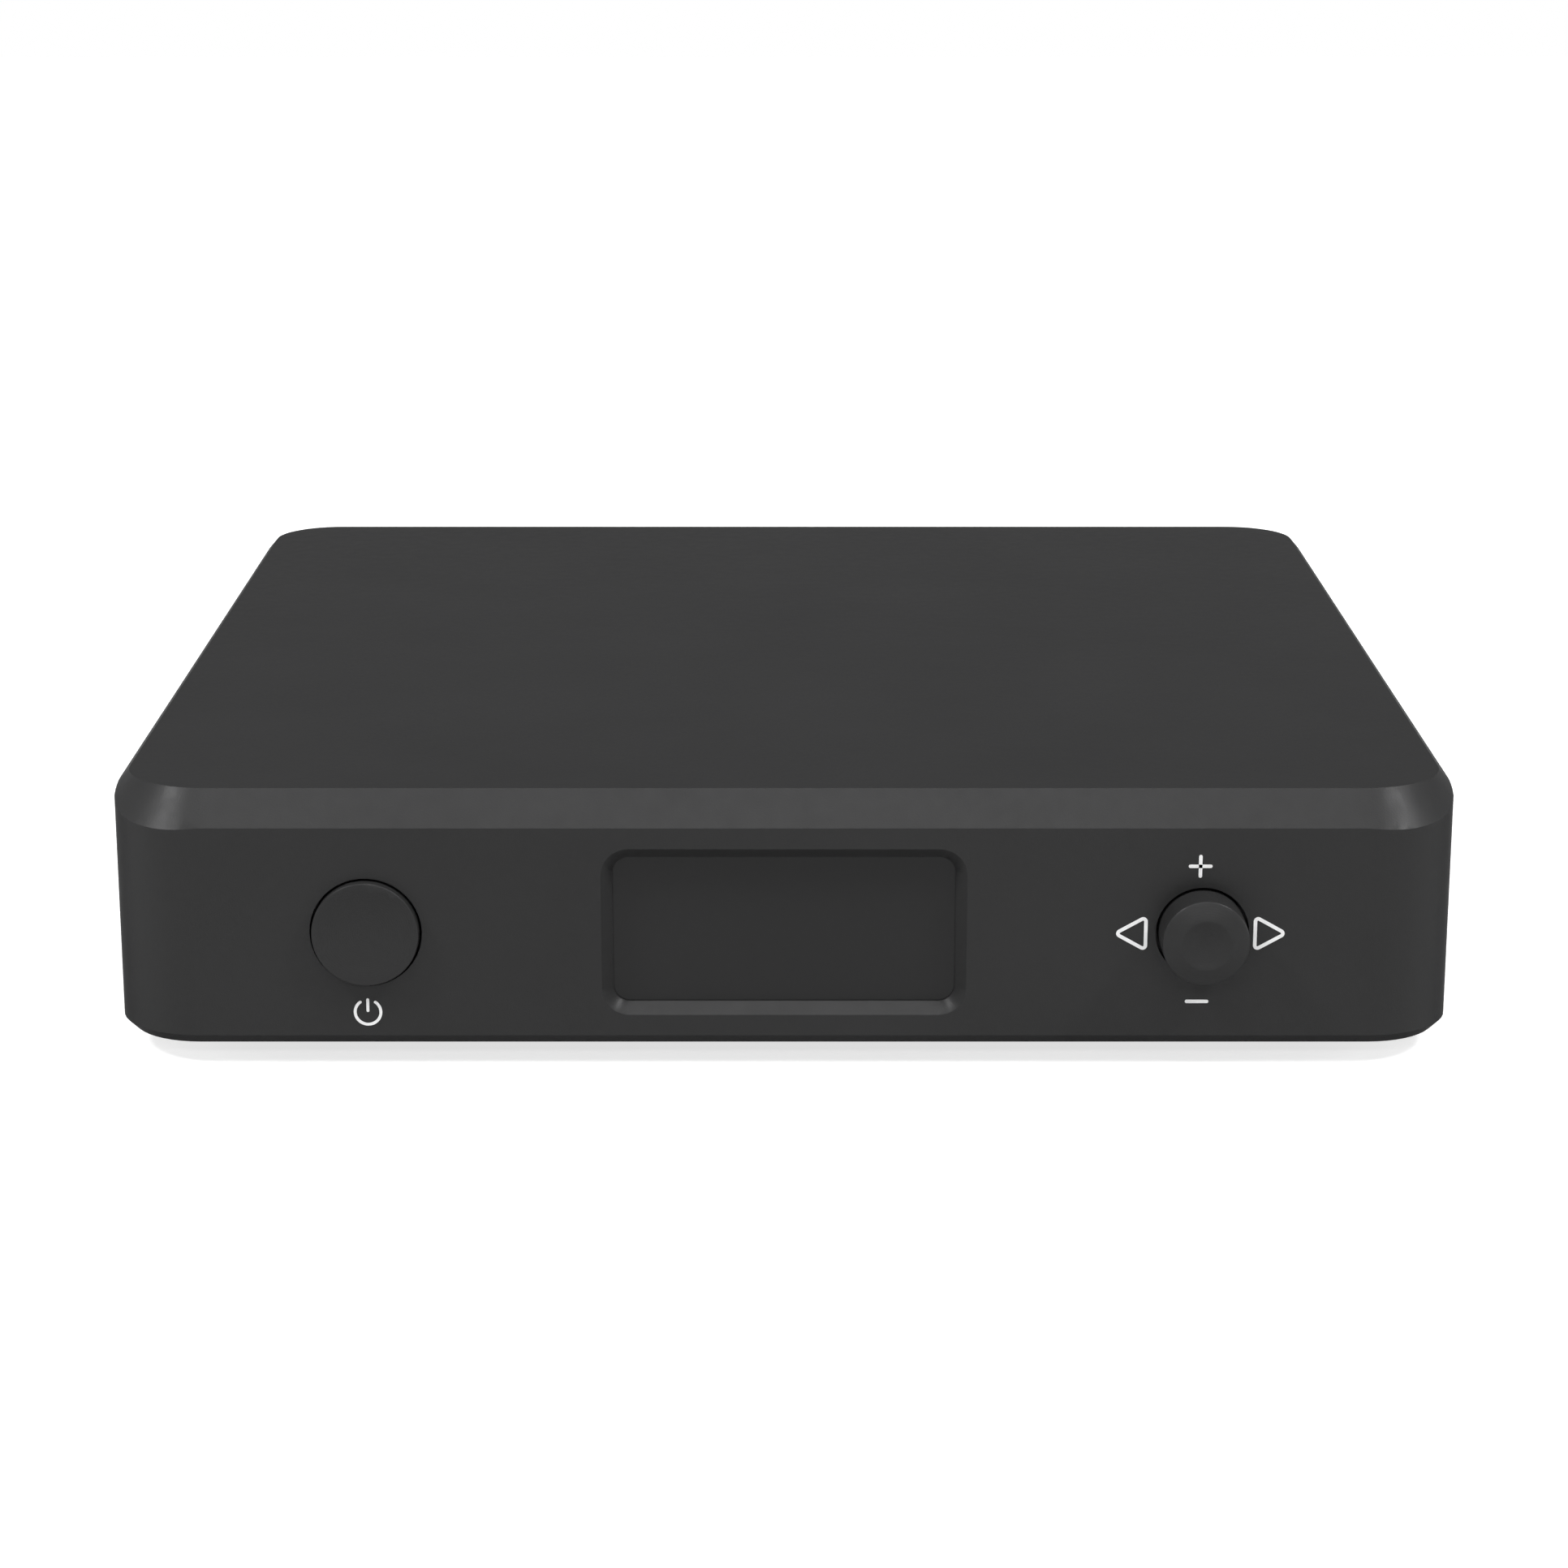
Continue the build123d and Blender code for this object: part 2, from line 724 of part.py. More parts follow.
def main_board_screws():
    length = board_top - plate_top - board_screw_end
    return [Pos(x, y, board_top)
            * screw(board_screw_radius, length, board_screw_head, board_screw_head_height, False)
            for x, y in standoff_places()]


link_z = board_top + link_rise
link_back = board_front_y + link_landing


def link_socket_front():
    start = front_board_y + board_thickness
    return block(around(0, link_width), (start, start + link_socket_depth),
                 around(link_z, link_socket_height))


def link_socket_main():
    return block(around(0, link_width), around(link_back, link_socket_height),
                 (board_top, board_top + link_socket_depth))


def link_cable():
    """The flat cable that joins the two boards, with one fold."""
    start = front_board_y + board_thickness + link_socket_depth
    width = around(0, link_width - link_socket_height)
    cable = block(width, (start, link_back + link_strip / 2), around(link_z, link_strip))
    return cable + block(width, around(link_back, link_strip),
                         (board_top + link_socket_depth, link_z + link_strip / 2))


def on_board(size, place):
    """A block of a given size standing on the main board, placed from the middle of the case."""
    x, y = place
    return block(around(x, size[0]), around(middle_y + y, size[1]), (board_top, board_top + size[2]))


def shield_can():
    can = on_board(shield_size, shield_place)
    inside = (shield_size[0] - 2 * shield_sheet, shield_size[1] - 2 * shield_sheet,
              shield_size[2] - shield_sheet)
    return can - on_board(inside, shield_place)


def power_inductors():
    pieces = []
    for place in inductor_places:
        coil = on_board(inductor_size, place)
        pieces.append(fillet(coil.edges().filter_by(Axis.Z), inductor_edge))
    return pieces


def supply_capacitors():
    pieces = []
    for column in range(capacitor_columns):
        for row in range(capacitor_rows):
            x = capacitor_place[0] + (column - (capacitor_columns - 1) / 2) * capacitor_pitch
            y = middle_y + capacitor_place[1] + row * capacitor_pitch
            can = rod_z(capacitor_radius, x, y, (board_top, board_top + capacitor_height))
            pieces.append(fillet(can.edges().group_by(Axis.Z)[-1], capacitor_edge))
    return pieces


# ---- rear sockets ----

def phono_housing(x):
    """The insulating body, its nose through the panel and the flange behind the panel's face."""
    body = block(around(x, phono_face), (panel_inner - phono_body_depth, panel_inner),
                 (board_top, socket_z + phono_body_rise))
    flange_end = panel_outer + phono_flange_thickness
    body += rod_y(phono_nose, x, socket_z, (panel_inner, flange_end))
    body += rod_y(phono_flange_radius, x, socket_z, (panel_outer, flange_end))
    body += rod_y(phono_inner, x, socket_z, (panel_inner, panel_outer + phono_floor))
    seat = (panel_inner - phono_seat, flange_end)
    groove = rod_y(phono_collar, x, socket_z, seat) - rod_y(phono_inner, x, socket_z, seat)
    pin = (panel_inner - phono_pin_tail, panel_outer + phono_floor)
    return body - groove - rod_y(phono_pin_outer, x, socket_z, pin)


def phono_barrel(x):
    span = (panel_inner - phono_seat, rear_y + socket_reach)
    barrel = rod_y(phono_outer, x, socket_z, span)
    barrel += rod_y(phono_collar, x, socket_z, (span[0], panel_outer + phono_flange_thickness))
    return barrel - rod_y(phono_inner, x, socket_z, span)


def phono_contact(x):
    mouth = rear_y + socket_reach - phono_pin_recess
    contact = rod_y(phono_pin_outer, x, socket_z, (panel_inner - phono_pin_tail, mouth))
    return contact - rod_y(phono_pin_inner, x, socket_z, (panel_outer, mouth))


jack_bush_end = panel_outer + jack_reach
jack_bush_start = jack_bush_end - jack_bush_length


def jack_spring_spans():
    """The Y span and the side of each contact spring, from the panel inwards."""
    spans = []
    start = jack_bush_start
    for side in jack_spring_sides:
        start -= jack_spring_step
        spans.append(((start, start + jack_spring_step - jack_spring_gap), side))
    return spans


def jack_body(x):
    start = panel_inner - jack_body_depth
    body = block(around(x, jack_face), (start, panel_inner), (board_top, socket_z + jack_body_rise))
    body -= rod_y(jack_bore, x, socket_z, (start + jack_end_wall, panel_inner))
    body -= rod_y(jack_bush_outer, x, socket_z, (jack_bush_start, panel_inner))
    for span, side in jack_spring_spans():
        body -= jack_strip(x, span, side, 0)
    return body


def jack_strip(x, span, side, inner):
    """A block beside the bore, from a radius out to the back of the contact springs."""
    outer = jack_bore + jack_spring_relief + jack_spring_thickness
    xs = sorted((x + side * inner, x + side * outer))
    return block(xs, span, around(socket_z, jack_spring_width))


def jack_springs(x):
    """Contact strips in slots at the side of the bore, just clear of the plug."""
    return [jack_strip(x, span, side, jack_bore + jack_spring_relief)
            for span, side in jack_spring_spans()]


def jack_bush(x):
    span = (jack_bush_start, jack_bush_end)
    return rod_y(jack_bush_outer, x, socket_z, span) - rod_y(jack_bore, x, socket_z, span)


def jack_nut(x):
    span = (panel_outer, panel_outer + jack_nut_thickness)
    face = Plane(origin=(x, span[0], socket_z), x_dir=(1, 0, 0), z_dir=(0, 1, 0))
    nut = extrude(face * RegularPolygon(jack_nut_radius, 6), jack_nut_thickness)
    return nut - rod_y(jack_bush_outer, x, socket_z, span)


def usb_shell(x):
    mouth = panel_outer + usb_reach
    outer = block(around(x, usb_face), (mouth - usb_depth, mouth), around(socket_z, usb_height))
    outer += block(around(x, usb_face), (mouth - usb_depth, panel_inner), (board_top, socket_z))
    inner = block(around(x, usb_face - 2 * usb_wall), (mouth - usb_depth + usb_wall, mouth),
                  around(socket_z, usb_height - 2 * usb_wall))
    return outer - inner


def usb_tongue(x):
    mouth = panel_outer + usb_reach
    start = mouth - usb_depth + usb_wall
    root = block(around(x, usb_face - 2 * usb_wall), (start, start + usb_tongue_root),
                 around(socket_z, usb_height - 2 * usb_wall))
    return root + block(around(x, usb_tongue_width), (start, mouth - usb_tongue_recess),
                        around(socket_z, usb_tongue_height))


optical_floor = panel_inner - optical_cavity
shutter_top = socket_z + optical_opening / 2 + optical_ceiling - shutter_gap
shutter_pin_z = shutter_top - shutter_pin_radius - shutter_gap
shutter_y = panel_inner - shutter_inset - shutter_pin_radius - shutter_gap
shutter_half = optical_opening / 2 - shutter_gap


def optical_socket(x):
    roof = socket_z + optical_opening / 2 + optical_ceiling + optical_roof
    body = block(around(x, optical_face), (panel_inner - optical_depth, panel_inner),
                 (board_top, roof))
    opening = around(x, optical_opening)
    low = socket_z - optical_opening / 2
    body -= block(opening, (optical_floor, panel_inner), (low, low + optical_opening))
    body -= block(opening, (optical_floor, panel_inner - shutter_inset), (low, roof - optical_roof))
    pin = shutter_pin_radius + shutter_pin_clearance
    body -= rod_x(pin, shutter_y, shutter_pin_z, around(x, optical_face))
    tail = (optical_floor - optical_emitter_tail, optical_floor)
    return body - rod_y(optical_emitter_radius, x, socket_z, tail)


def optical_shutter(x):
    """The sprung flap that closes the socket. It turns about its top edge, into the socket."""
    flap = block((x - shutter_half, x + shutter_half),
                 around(shutter_y, shutter_thickness),
                 (socket_z - optical_opening / 2 + shutter_gap, shutter_pin_z))
    flap += rod_x(shutter_pin_radius, shutter_y, shutter_pin_z,
                  around(x, optical_opening + 2 * shutter_pin_reach))
    return flap


def optical_emitter(x):
    span = (optical_floor - optical_emitter_tail, optical_floor + optical_emitter_length)
    return rod_y(optical_emitter_radius, x, socket_z, span)


def inlet_body(x):
    body = block(around(x, inlet_face), (panel_inner - inlet_depth, panel_inner),
                 (board_top, socket_z + inlet_rise))
    mouth = panel_outer + inlet_reach
    body += rod_y(inlet_bore + inlet_reach, x, socket_z, (panel_inner, mouth))
    body -= rod_y(inlet_bore, x, socket_z, (mouth - inlet_bore_depth, mouth))
    floor = mouth - inlet_bore_depth
    return body - rod_y(inlet_pin_root, x, socket_z, (floor - inlet_pin_tail, floor))


def inlet_pin(x):
    mouth = panel_outer + inlet_reach
    floor = mouth - inlet_bore_depth
    pin = rod_y(inlet_pin_root, x, socket_z, (floor - inlet_pin_tail, floor))
    return pin + rod_y(inlet_pin_radius, x, socket_z, (floor, floor + inlet_pin_length))


# ---- all nodes ----

save("top_shell", top_shell())
save("bottom_plate", bottom_plate())
save("bottom_screws", *[place * screw(plate_screw_radius, plate_screw_length, plate_screw_head, 0, True)
                        for place in plate_screw_places()])
save("rubber_feet", *feet())
save("rear_panel", rear_panel())
save("rear_panel_screws", *[place * screw(panel_screw_radius, panel_screw_length, panel_screw_head,
                                          0, True) for place in panel_screw_places()])
save("display_window", display_window())
save("window_gasket", window_gasket())
save("display_tray", display_tray())
save("display_screen", display_screen())
save("display_holder", display_holder())
save("display_ribbon", display_ribbon())
save("front_board", front_board())
save("front_board_screws", *front_board_screws())
save("power_button_cap", power_button_cap())
save("power_switch_plunger", power_switch_plunger())
save("power_switch_body", power_switch_body())
save("power_button_spring", power_button_spring())
save("joystick_cap", joystick_cap())
save("stick_stem", stick_stem())
save("stick_cradle", stick_cradle())
save("stick_ring", stick_ring())
save("stick_switch_body", stick_switch_body())
save("main_board", main_board())
save("board_standoffs", *board_standoffs())
save("main_board_screws", *main_board_screws())
save("link_socket_front", link_socket_front())
save("link_socket_main", link_socket_main())
save("link_cable", link_cable())
save("shield_can", shield_can())
save("dac_chip", on_board(dac_chip_size, shield_place))
save("usb_bridge_chip", on_board(bridge_chip_size, bridge_chip_place))
save("clock_oscillators", *[on_board(oscillator_size, place) for place in oscillator_places])
save("output_relays", *[on_board(relay_size, (x, relay_y)) for x in relay_xs])
save("power_inductors", *power_inductors())
save("supply_capacitors", *supply_capacitors())
for name in ("coax", "phono_right", "phono_left"):
    save(name + "_housing", phono_housing(sockets[name]))
    save(name + "_barrel", phono_barrel(sockets[name]))
    save(name + "_contact", phono_contact(sockets[name]))
for name in ("jack_right", "jack_left"):
    save(name + "_body", jack_body(sockets[name]))
    save(name + "_bush", jack_bush(sockets[name]))
    save(name + "_nut", jack_nut(sockets[name]))
    save(name + "_springs", *jack_springs(sockets[name]))
save("usb_shell", usb_shell(sockets["usb"]))
save("usb_tongue", usb_tongue(sockets["usb"]))
save("optical_socket", optical_socket(sockets["optical"]))
save("optical_shutter", optical_shutter(sockets["optical"]))
save("optical_emitter", optical_emitter(sockets["optical"]))
save("power_inlet_body", inlet_body(sockets["inlet"]))
save("power_inlet_pin", inlet_pin(sockets["inlet"]))
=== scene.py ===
import json
import math

import bmesh
import bpy
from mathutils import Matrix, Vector
from mathutils.bvhtree import BVHTree


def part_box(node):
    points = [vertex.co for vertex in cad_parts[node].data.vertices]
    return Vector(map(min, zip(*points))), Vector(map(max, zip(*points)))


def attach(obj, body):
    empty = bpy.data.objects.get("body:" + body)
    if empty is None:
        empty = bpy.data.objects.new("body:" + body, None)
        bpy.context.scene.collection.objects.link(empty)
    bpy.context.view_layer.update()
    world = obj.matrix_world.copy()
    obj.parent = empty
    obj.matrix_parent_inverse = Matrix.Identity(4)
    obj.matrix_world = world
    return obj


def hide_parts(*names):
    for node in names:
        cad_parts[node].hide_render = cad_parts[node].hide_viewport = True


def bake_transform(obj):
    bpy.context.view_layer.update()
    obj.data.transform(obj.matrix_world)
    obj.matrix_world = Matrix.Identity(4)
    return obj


bl_info = {
    "name": "Desktop DAC",
    "version": (1, 0, 0),
    "blender": (4, 5, 0),
    "location": "3D Viewport > Sidebar > DAC",
    "description": "Finishes and details of a desktop digital to analogue converter",
    "category": "Object",
}

FINISH_END = "_finish"    # keeps the finishes' names apart from the frame's own materials
MM = 0.001
FLAT = 0.4                # degrees: faces that differ by less are made one
SHARP = 28.0              # degrees: edges under this are shaded smooth
SHARP_GROWN = 30.0        # the same for pieces that a tree makes
SHARP_COIL = 40.0         # the same for the return spring
NOISE_LOW, NOISE_HIGH = 0.3, 0.7    # most of a noise texture's values lie between these

# The packed model is the fixed frame that the places below are read from.
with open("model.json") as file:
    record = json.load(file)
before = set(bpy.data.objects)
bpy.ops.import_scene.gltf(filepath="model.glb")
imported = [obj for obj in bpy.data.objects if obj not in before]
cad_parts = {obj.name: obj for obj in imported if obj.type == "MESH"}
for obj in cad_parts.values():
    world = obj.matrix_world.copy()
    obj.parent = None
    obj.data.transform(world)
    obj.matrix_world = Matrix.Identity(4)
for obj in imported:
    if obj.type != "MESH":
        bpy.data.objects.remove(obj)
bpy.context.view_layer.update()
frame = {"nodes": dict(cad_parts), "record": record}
SHELL_LOW, SHELL_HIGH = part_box("top_shell")
FRONT_Y = SHELL_LOW.y
REAR_Y = SHELL_HIGH.y
TOP_Z = SHELL_HIGH.z


def middle_of(node):
    """The middle of a CAD node's box."""
    low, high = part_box(node)
    return (low + high) / 2


BUTTON = middle_of("power_button_cap")
STICK = middle_of("joystick_cap")
STICK.z = BUTTON.z


def linked(name, data):
    """A new object in the scene."""
    piece = bpy.data.objects.new(name, data)
    bpy.context.scene.collection.objects.link(piece)
    return piece


# ---- sizes and colours that a user may change ----

def length(name, description, default):
    return bpy.props.FloatProperty(
        name=name, description=description, default=default, subtype="DISTANCE", unit="LENGTH",
        precision=6)


def number(name, description, default):
    return bpy.props.FloatProperty(name=name, description=description, default=default, precision=4)


def whole(name, description, default):
    return bpy.props.IntProperty(name=name, description=description, default=default)


def angle(name, description, degrees):
    return bpy.props.FloatProperty(
        name=name, description=description, default=math.radians(degrees), subtype="ANGLE",
        unit="ROTATION")


def colour(name, description, default):
    return bpy.props.FloatVectorProperty(
        name=name, description=description, default=default, subtype="COLOR", size=3, min=0, max=1)


class CaseSettings(bpy.types.PropertyGroup):
    """Bead-blasted and anodised metal of the case, the rear panel and the two controls."""

    shade: colour("Anodising", "Colour of the anodised case", (0.034, 0.034, 0.0343))
    control_shade: colour(
        "Controls", "Colour of the button and the joystick", (0.034, 0.034, 0.0343))
    plate_shade: colour("Bottom plate", "Colour of the coated bottom plate", (0.022, 0.022, 0.023))
    roughness: number("Roughness", "Roughness of the blasted metal", 0.38)
    metal: number("Metal", "Share of the light that is mirrored, and not scattered", 0.34)
    edge_shine: number("Edge shine", "Share of the shine left at a low viewing angle", 0.375)
    grain: length("Grain", "Size of one grain of the blasted surface", 0.16 * MM)
    grain_depth: length("Grain depth", "Height of the grain", 0.006 * MM)
    edge: length("Edge", "Width of the softened edges", 0.12 * MM)
    turning: length("Turning", "Distance between the turning marks on the controls", 0.22 * MM)
    turning_depth: length("Turning depth", "Height of the turning marks", 0.0012 * MM)


class MarkSettings(bpy.types.PropertyGroup):
    """Printed signs on the front."""

    ink: colour("Ink", "Colour of the printed signs", (0.90, 0.90, 0.90))
    thickness: length("Thickness", "Thickness of the ink", 0.03 * MM)
    stroke: length("Stroke", "Width of every line", 0.34 * MM)
    arrow_width: length("Arrow width", "Outer width of a triangle", 3.25 * MM)
    arrow_height: length("Arrow height", "Outer height of a triangle", 3.62 * MM)
    arrow_corner: length("Arrow corner", "Radius of a triangle's corners", 0.26 * MM)
    arrow_distance: length("Arrow distance", "From the middle to a triangle's middle", 6.66 * MM)
    shift: length("Shift", "Sideways from the joystick's axis to the triangles' middle", -0.19 * MM)
    lean: length("Lean", "Sideways from the triangles' middle to the plus and minus", -0.17 * MM)
    drop: length("Drop", "Down from the joystick's axis to the middle of its signs", 0.15 * MM)
    rise: length("Rise", "From the middle of the plus and the minus up to the triangles", 0.07 * MM)
    sign_size: length("Sign size", "Length of the plus and the minus", 2.26 * MM)
    sign_distance: length("Sign distance", "From the middle to the plus and the minus", 6.73 * MM)
    power_size: length("Power sign", "Outer diameter of the power sign", 2.74 * MM)
    power_stroke: length("Power stroke", "Width of the power sign's lines", 0.28 * MM)
    power_drop: length("Power drop", "From the button's middle down to the sign", 7.95 * MM)
    power_gap: angle("Power gap", "Half the opening of the power sign's ring", 36)


class DisplaySettings(bpy.types.PropertyGroup):
    """The blank window in the front."""

    glass: colour("Glass", "Colour of the dark window", (0.0145, 0.0145, 0.0147))
    gloss: number("Roughness", "Roughness of the window's face", 0.42)
    shine: number("Shine", "Strength of the reflection on the window's face", 0.165)


class SocketSettings(bpy.types.PropertyGroup):
    """Details of the sockets behind."""

    gold: colour("Gold", "Gold plate", (0.83, 0.60, 0.24))
    nickel: colour("Nickel", "Nickel plate", (0.62, 0.60, 0.56))
    thread_pitch: length("Thread pitch", "Pitch of the jack bush's thread", 0.5 * MM)
    thread_depth: length("Thread depth", "Height of the thread's ridges", 0.16 * MM)
    contact_count: whole("USB contacts", "Contacts on each side of the tongue", 2)
    contact_width: length("Contact width", "Width of a USB contact", 1.0 * MM)
    contact_pitch: length("Contact pitch", "Distance between the USB contacts", 2.5 * MM)
    contact_thickness: length("Contact thickness", "Thickness of a USB contact", 0.15 * MM)
    contact_length: length("Contact length", "Length of a USB contact", 7.0 * MM)
    contact_inset: length("Contact inset", "From the tongue's tip to its contacts", 0.6 * MM)
    contact_height: length("Contact height", "From the tongue's middle to its contacts", 1.6 * MM)


class BoardSettings(bpy.types.PropertyGroup):
    """Small parts on the circuit boards."""

    mask: colour("Solder mask", "Colour of the boards", (0.010, 0.022, 0.016))
    leg_pitch: length("Leg pitch", "Distance between a chip's legs", 0.65 * MM)
    leg_length: length("Leg length", "How far a chip's legs stand out", 0.95 * MM)
    leg_width: length("Leg width", "Width of a chip's legs", 0.28 * MM)
    leg_thickness: length("Leg thickness", "Thickness of a chip's legs", 0.13 * MM)
    leg_margin: length("Leg margin", "From a chip's corner to its first leg", 0.8 * MM)
    part_length: length("Small part", "Length of a small soldered part", 1.6 * MM)
    part_width: length("Small part width", "Width of a small soldered part", 0.8 * MM)
    part_height: length("Small part height", "Height of a small soldered part", 0.5 * MM)
    part_pitch: length("Part pitch", "Distance between the small parts' places", 3.6 * MM)
    part_room: length("Part room", "Free width round a small part", 1.4 * MM)
    body_share: number("Body share", "Length of a small part's body over its full length", 0.62)
    body_growth: number("Body growth", "Width of a small part's body over that of its ends", 1.06)
    fill: number("Fill", "Share of the places that hold a small part", 0.62)
    seed: whole("Seed", "Seed of the small parts' places", 7)


class StageSettings(bpy.types.PropertyGroup):
    """Camera, floor and lights."""

    distance: length("Distance", "From the front face to the camera", 342.0 * MM)
    rise: length("Rise", "From the top face up to the camera", 94.2 * MM)
    pitch: angle("Pitch", "How far the camera looks down", 15.22)
    lens: number("Lens", "Focal length on a 36 mm sensor, in mm", 86.47)
    floor: colour("Floor", "Colour of the floor", (0.62, 0.62, 0.62))
    floor_size: length("Floor size", "Width of the floor", 2400 * MM)
    floor_glow: number("Floor glow", "Light added to the floor where it is seen", 0.70)
    ambient: number("Ambient", "Strength of the light from all round", 0.15)
    key: number("Key", "Power of the soft light above, in W", 7.7)
    side: number("Side", "Power of each soft light at the sides, in W", 10.5)
    low: number("Low", "Power of each low light at the sides, in W", 10.0)
    back: number("Back", "Power of each low light behind, in W", 6.5)
    front: number("Front", "Power of the soft light above the camera, in W", 4.5)


SETTINGS = (
    ("dac_case", CaseSettings),
    ("dac_marks", MarkSettings),
    ("dac_display", DisplaySettings),
    ("dac_sockets", SocketSettings),
    ("dac_boards", BoardSettings),
    ("dac_stage", StageSettings),
)


# ---- finishes ----

class Finish:
    """A procedural material: a Principled shader with its nodes added one by one."""

    def __init__(self, name, shade, roughness, metallic=0.0, specular=0.5):
        self.material = bpy.data.materials.new(name + FINISH_END)
        self.material.use_nodes = True
        self.nodes = self.material.node_tree.nodes
        self.links = self.material.node_tree.links
        self.shader = self.nodes["Principled BSDF"]
        self.shade = shade
        self.set("Base Color", (*shade, 1))
        self.set("Roughness", roughness)
        self.set("Metallic", metallic)
        self.set("Specular IOR Level", specular)
        self.material.diffuse_color = (*shade, 1)
        self.roughness = roughness
        self.coordinates = self.add("ShaderNodeTexCoord").outputs["Object"]
        self.normal = None

    def set(self, socket, value):
        self.shader.inputs[socket].default_value = value

    def add(self, kind, **values):
        node = self.nodes.new(kind)
        for key, value in values.items():
            if key in node.inputs:
                node.inputs[key].default_value = value
            else:
                setattr(node, key, value)
        return node

    def noise(self, size, detail, stretch=None):
        """Noise whose features are about the given size, in metres."""
        texture = self.add("ShaderNodeTexNoise", Scale=1 / size, Detail=detail)
        source = self.coordinates
        if stretch:
            mapping = self.add("ShaderNodeMapping")
            mapping.inputs["Scale"].default_value = stretch
            self.links.new(source, mapping.inputs["Vector"])
            source = mapping.outputs["Vector"]
        self.links.new(source, texture.inputs["Vector"])
        return texture.outputs["Fac"]

    def ranged(self, value, low, high):
        """Maps a noise value on to a range."""
        node = self.add("ShaderNodeMapRange")
        node.inputs["From Min"].default_value = NOISE_LOW
        node.inputs["From Max"].default_value = NOISE_HIGH
        node.inputs["To Min"].default_value = low
        node.inputs["To Max"].default_value = high
        self.links.new(value, node.inputs["Value"])
        return node.outputs["Result"]

    def mottle(self, size, amount):
        """Slight unevenness of the colour."""
        ramp = self.add("ShaderNodeValToRGB")
        places = ((NOISE_LOW, 1 - amount), (NOISE_HIGH, 1 + amount))
        for element, (position, share) in zip(ramp.color_ramp.elements, places):
            element.position = position
            element.color = (*[c * share for c in self.shade], 1)
        self.links.new(self.noise(size, 3.0), ramp.inputs["Fac"])
        self.links.new(ramp.outputs["Color"], self.shader.inputs["Base Color"])
        return self

    def wear(self, size, amount):
        """Slight unevenness of the gloss."""
        value = self.ranged(self.noise(size, 4.0), self.roughness - amount, self.roughness + amount)
        self.links.new(value, self.shader.inputs["Roughness"])
        return self

    def bump(self, height, depth):
        """Raises the surface by a texture value times a depth in metres."""
        node = self.add("ShaderNodeBump", Strength=1.0, Distance=depth)
        self.links.new(height, node.inputs["Height"])
        if self.normal:
            self.links.new(self.normal, node.inputs["Normal"])
        self.normal = node.outputs["Normal"]
        self.links.new(self.normal, self.shader.inputs["Normal"])
        return self

    def grain(self, size, depth, stretch=None):
        """Fine roughness of the surface."""
        return self.bump(self.noise(size, 1.0, stretch), depth)

    def rings(self, centre, pitch, depth):
        """Turning marks: fine rings about an axis along Y through the centre."""
        mapping = self.add("ShaderNodeMapping")
        mapping.inputs["Location"].default_value = (-centre.x, 0, -centre.z)
        mapping.inputs["Scale"].default_value = (1, 0, 1)
        self.links.new(self.coordinates, mapping.inputs["Vector"])
        radius = self.add("ShaderNodeVectorMath", operation="LENGTH")
        self.links.new(mapping.outputs["Vector"], radius.inputs[0])
        turns = self.add("ShaderNodeMath", operation="MULTIPLY")
        turns.inputs[1].default_value = 2 * math.pi / pitch
        self.links.new(radius.outputs["Value"], turns.inputs[0])
        wave = self.add("ShaderNodeMath", operation="SINE")
        self.links.new(turns.outputs[0], wave.inputs[0])
        return self.bump(wave.outputs[0], depth)


def blasted(name, shade):
    """Bead-blasted anodised aluminium, nearly matt."""
    case = bpy.context.scene.dac_case
    finish = Finish(name, shade, case.roughness, case.metal, 0.0)
    finish.set("Specular Tint", (case.edge_shine, case.edge_shine, case.edge_shine, 1))
    finish.mottle(18 * MM, 0.03).wear(1.5 * MM, 0.03)
    return finish.grain(case.grain, case.grain_depth)


def moulded(name, shade, roughness=0.45):
    """Moulded plastic with a fine spark-eroded texture."""
    finish = Finish(name, shade, roughness, 0.0, 0.45)
    finish.mottle(6 * MM, 0.08).wear(2 * MM, 0.06)
    return finish.grain(0.12 * MM, 0.006 * MM)


def plated(name, shade, roughness=0.22):
    """Plated metal with faint drawing marks."""
    finish = Finish(name, shade, roughness, 1.0, 0.5)
    finish.mottle(3 * MM, 0.04).wear(1.2 * MM, 0.06)
    return finish.grain(0.25 * MM, 0.002 * MM, stretch=(1, 0.15, 1))


def rubber(name, shade):
    """Matt rubber with a dusty sheen."""
    finish = Finish(name, shade, 0.85, 0.0, 0.2)
    finish.set("Sheen Weight", 0.15)
    finish.mottle(4 * MM, 0.15)
    return finish.grain(0.3 * MM, 0.02 * MM)


def coated(name, shade):
    """Powder coat with an orange-peel surface."""
    finish = Finish(name, shade, 0.6, 0.0, 0.4)
    finish.mottle(10 * MM, 0.06)
    return finish.grain(0.5 * MM, 0.02 * MM)


def laminate(name, shade):
    """Circuit board laminate under a glossy mask, with faint straight tracks."""
    finish = Finish(name, shade, 0.3, 0.0, 0.5)
    bricks = finish.add("ShaderNodeTexBrick", Scale=90.0)
    bricks.inputs["Color1"].default_value = (*shade, 1)
    bricks.inputs["Color2"].default_value = (*[c * 1.15 for c in shade], 1)
    bricks.inputs["Mortar"].default_value = (*[c * 2.2 for c in shade], 1)
    bricks.inputs["Mortar Size"].default_value = 0.012
    finish.links.new(finish.coordinates, bricks.inputs["Vector"])
    finish.links.new(bricks.outputs["Color"], finish.shader.inputs["Base Color"])
    return finish.bump(bricks.outputs["Fac"], 0.03 * MM)


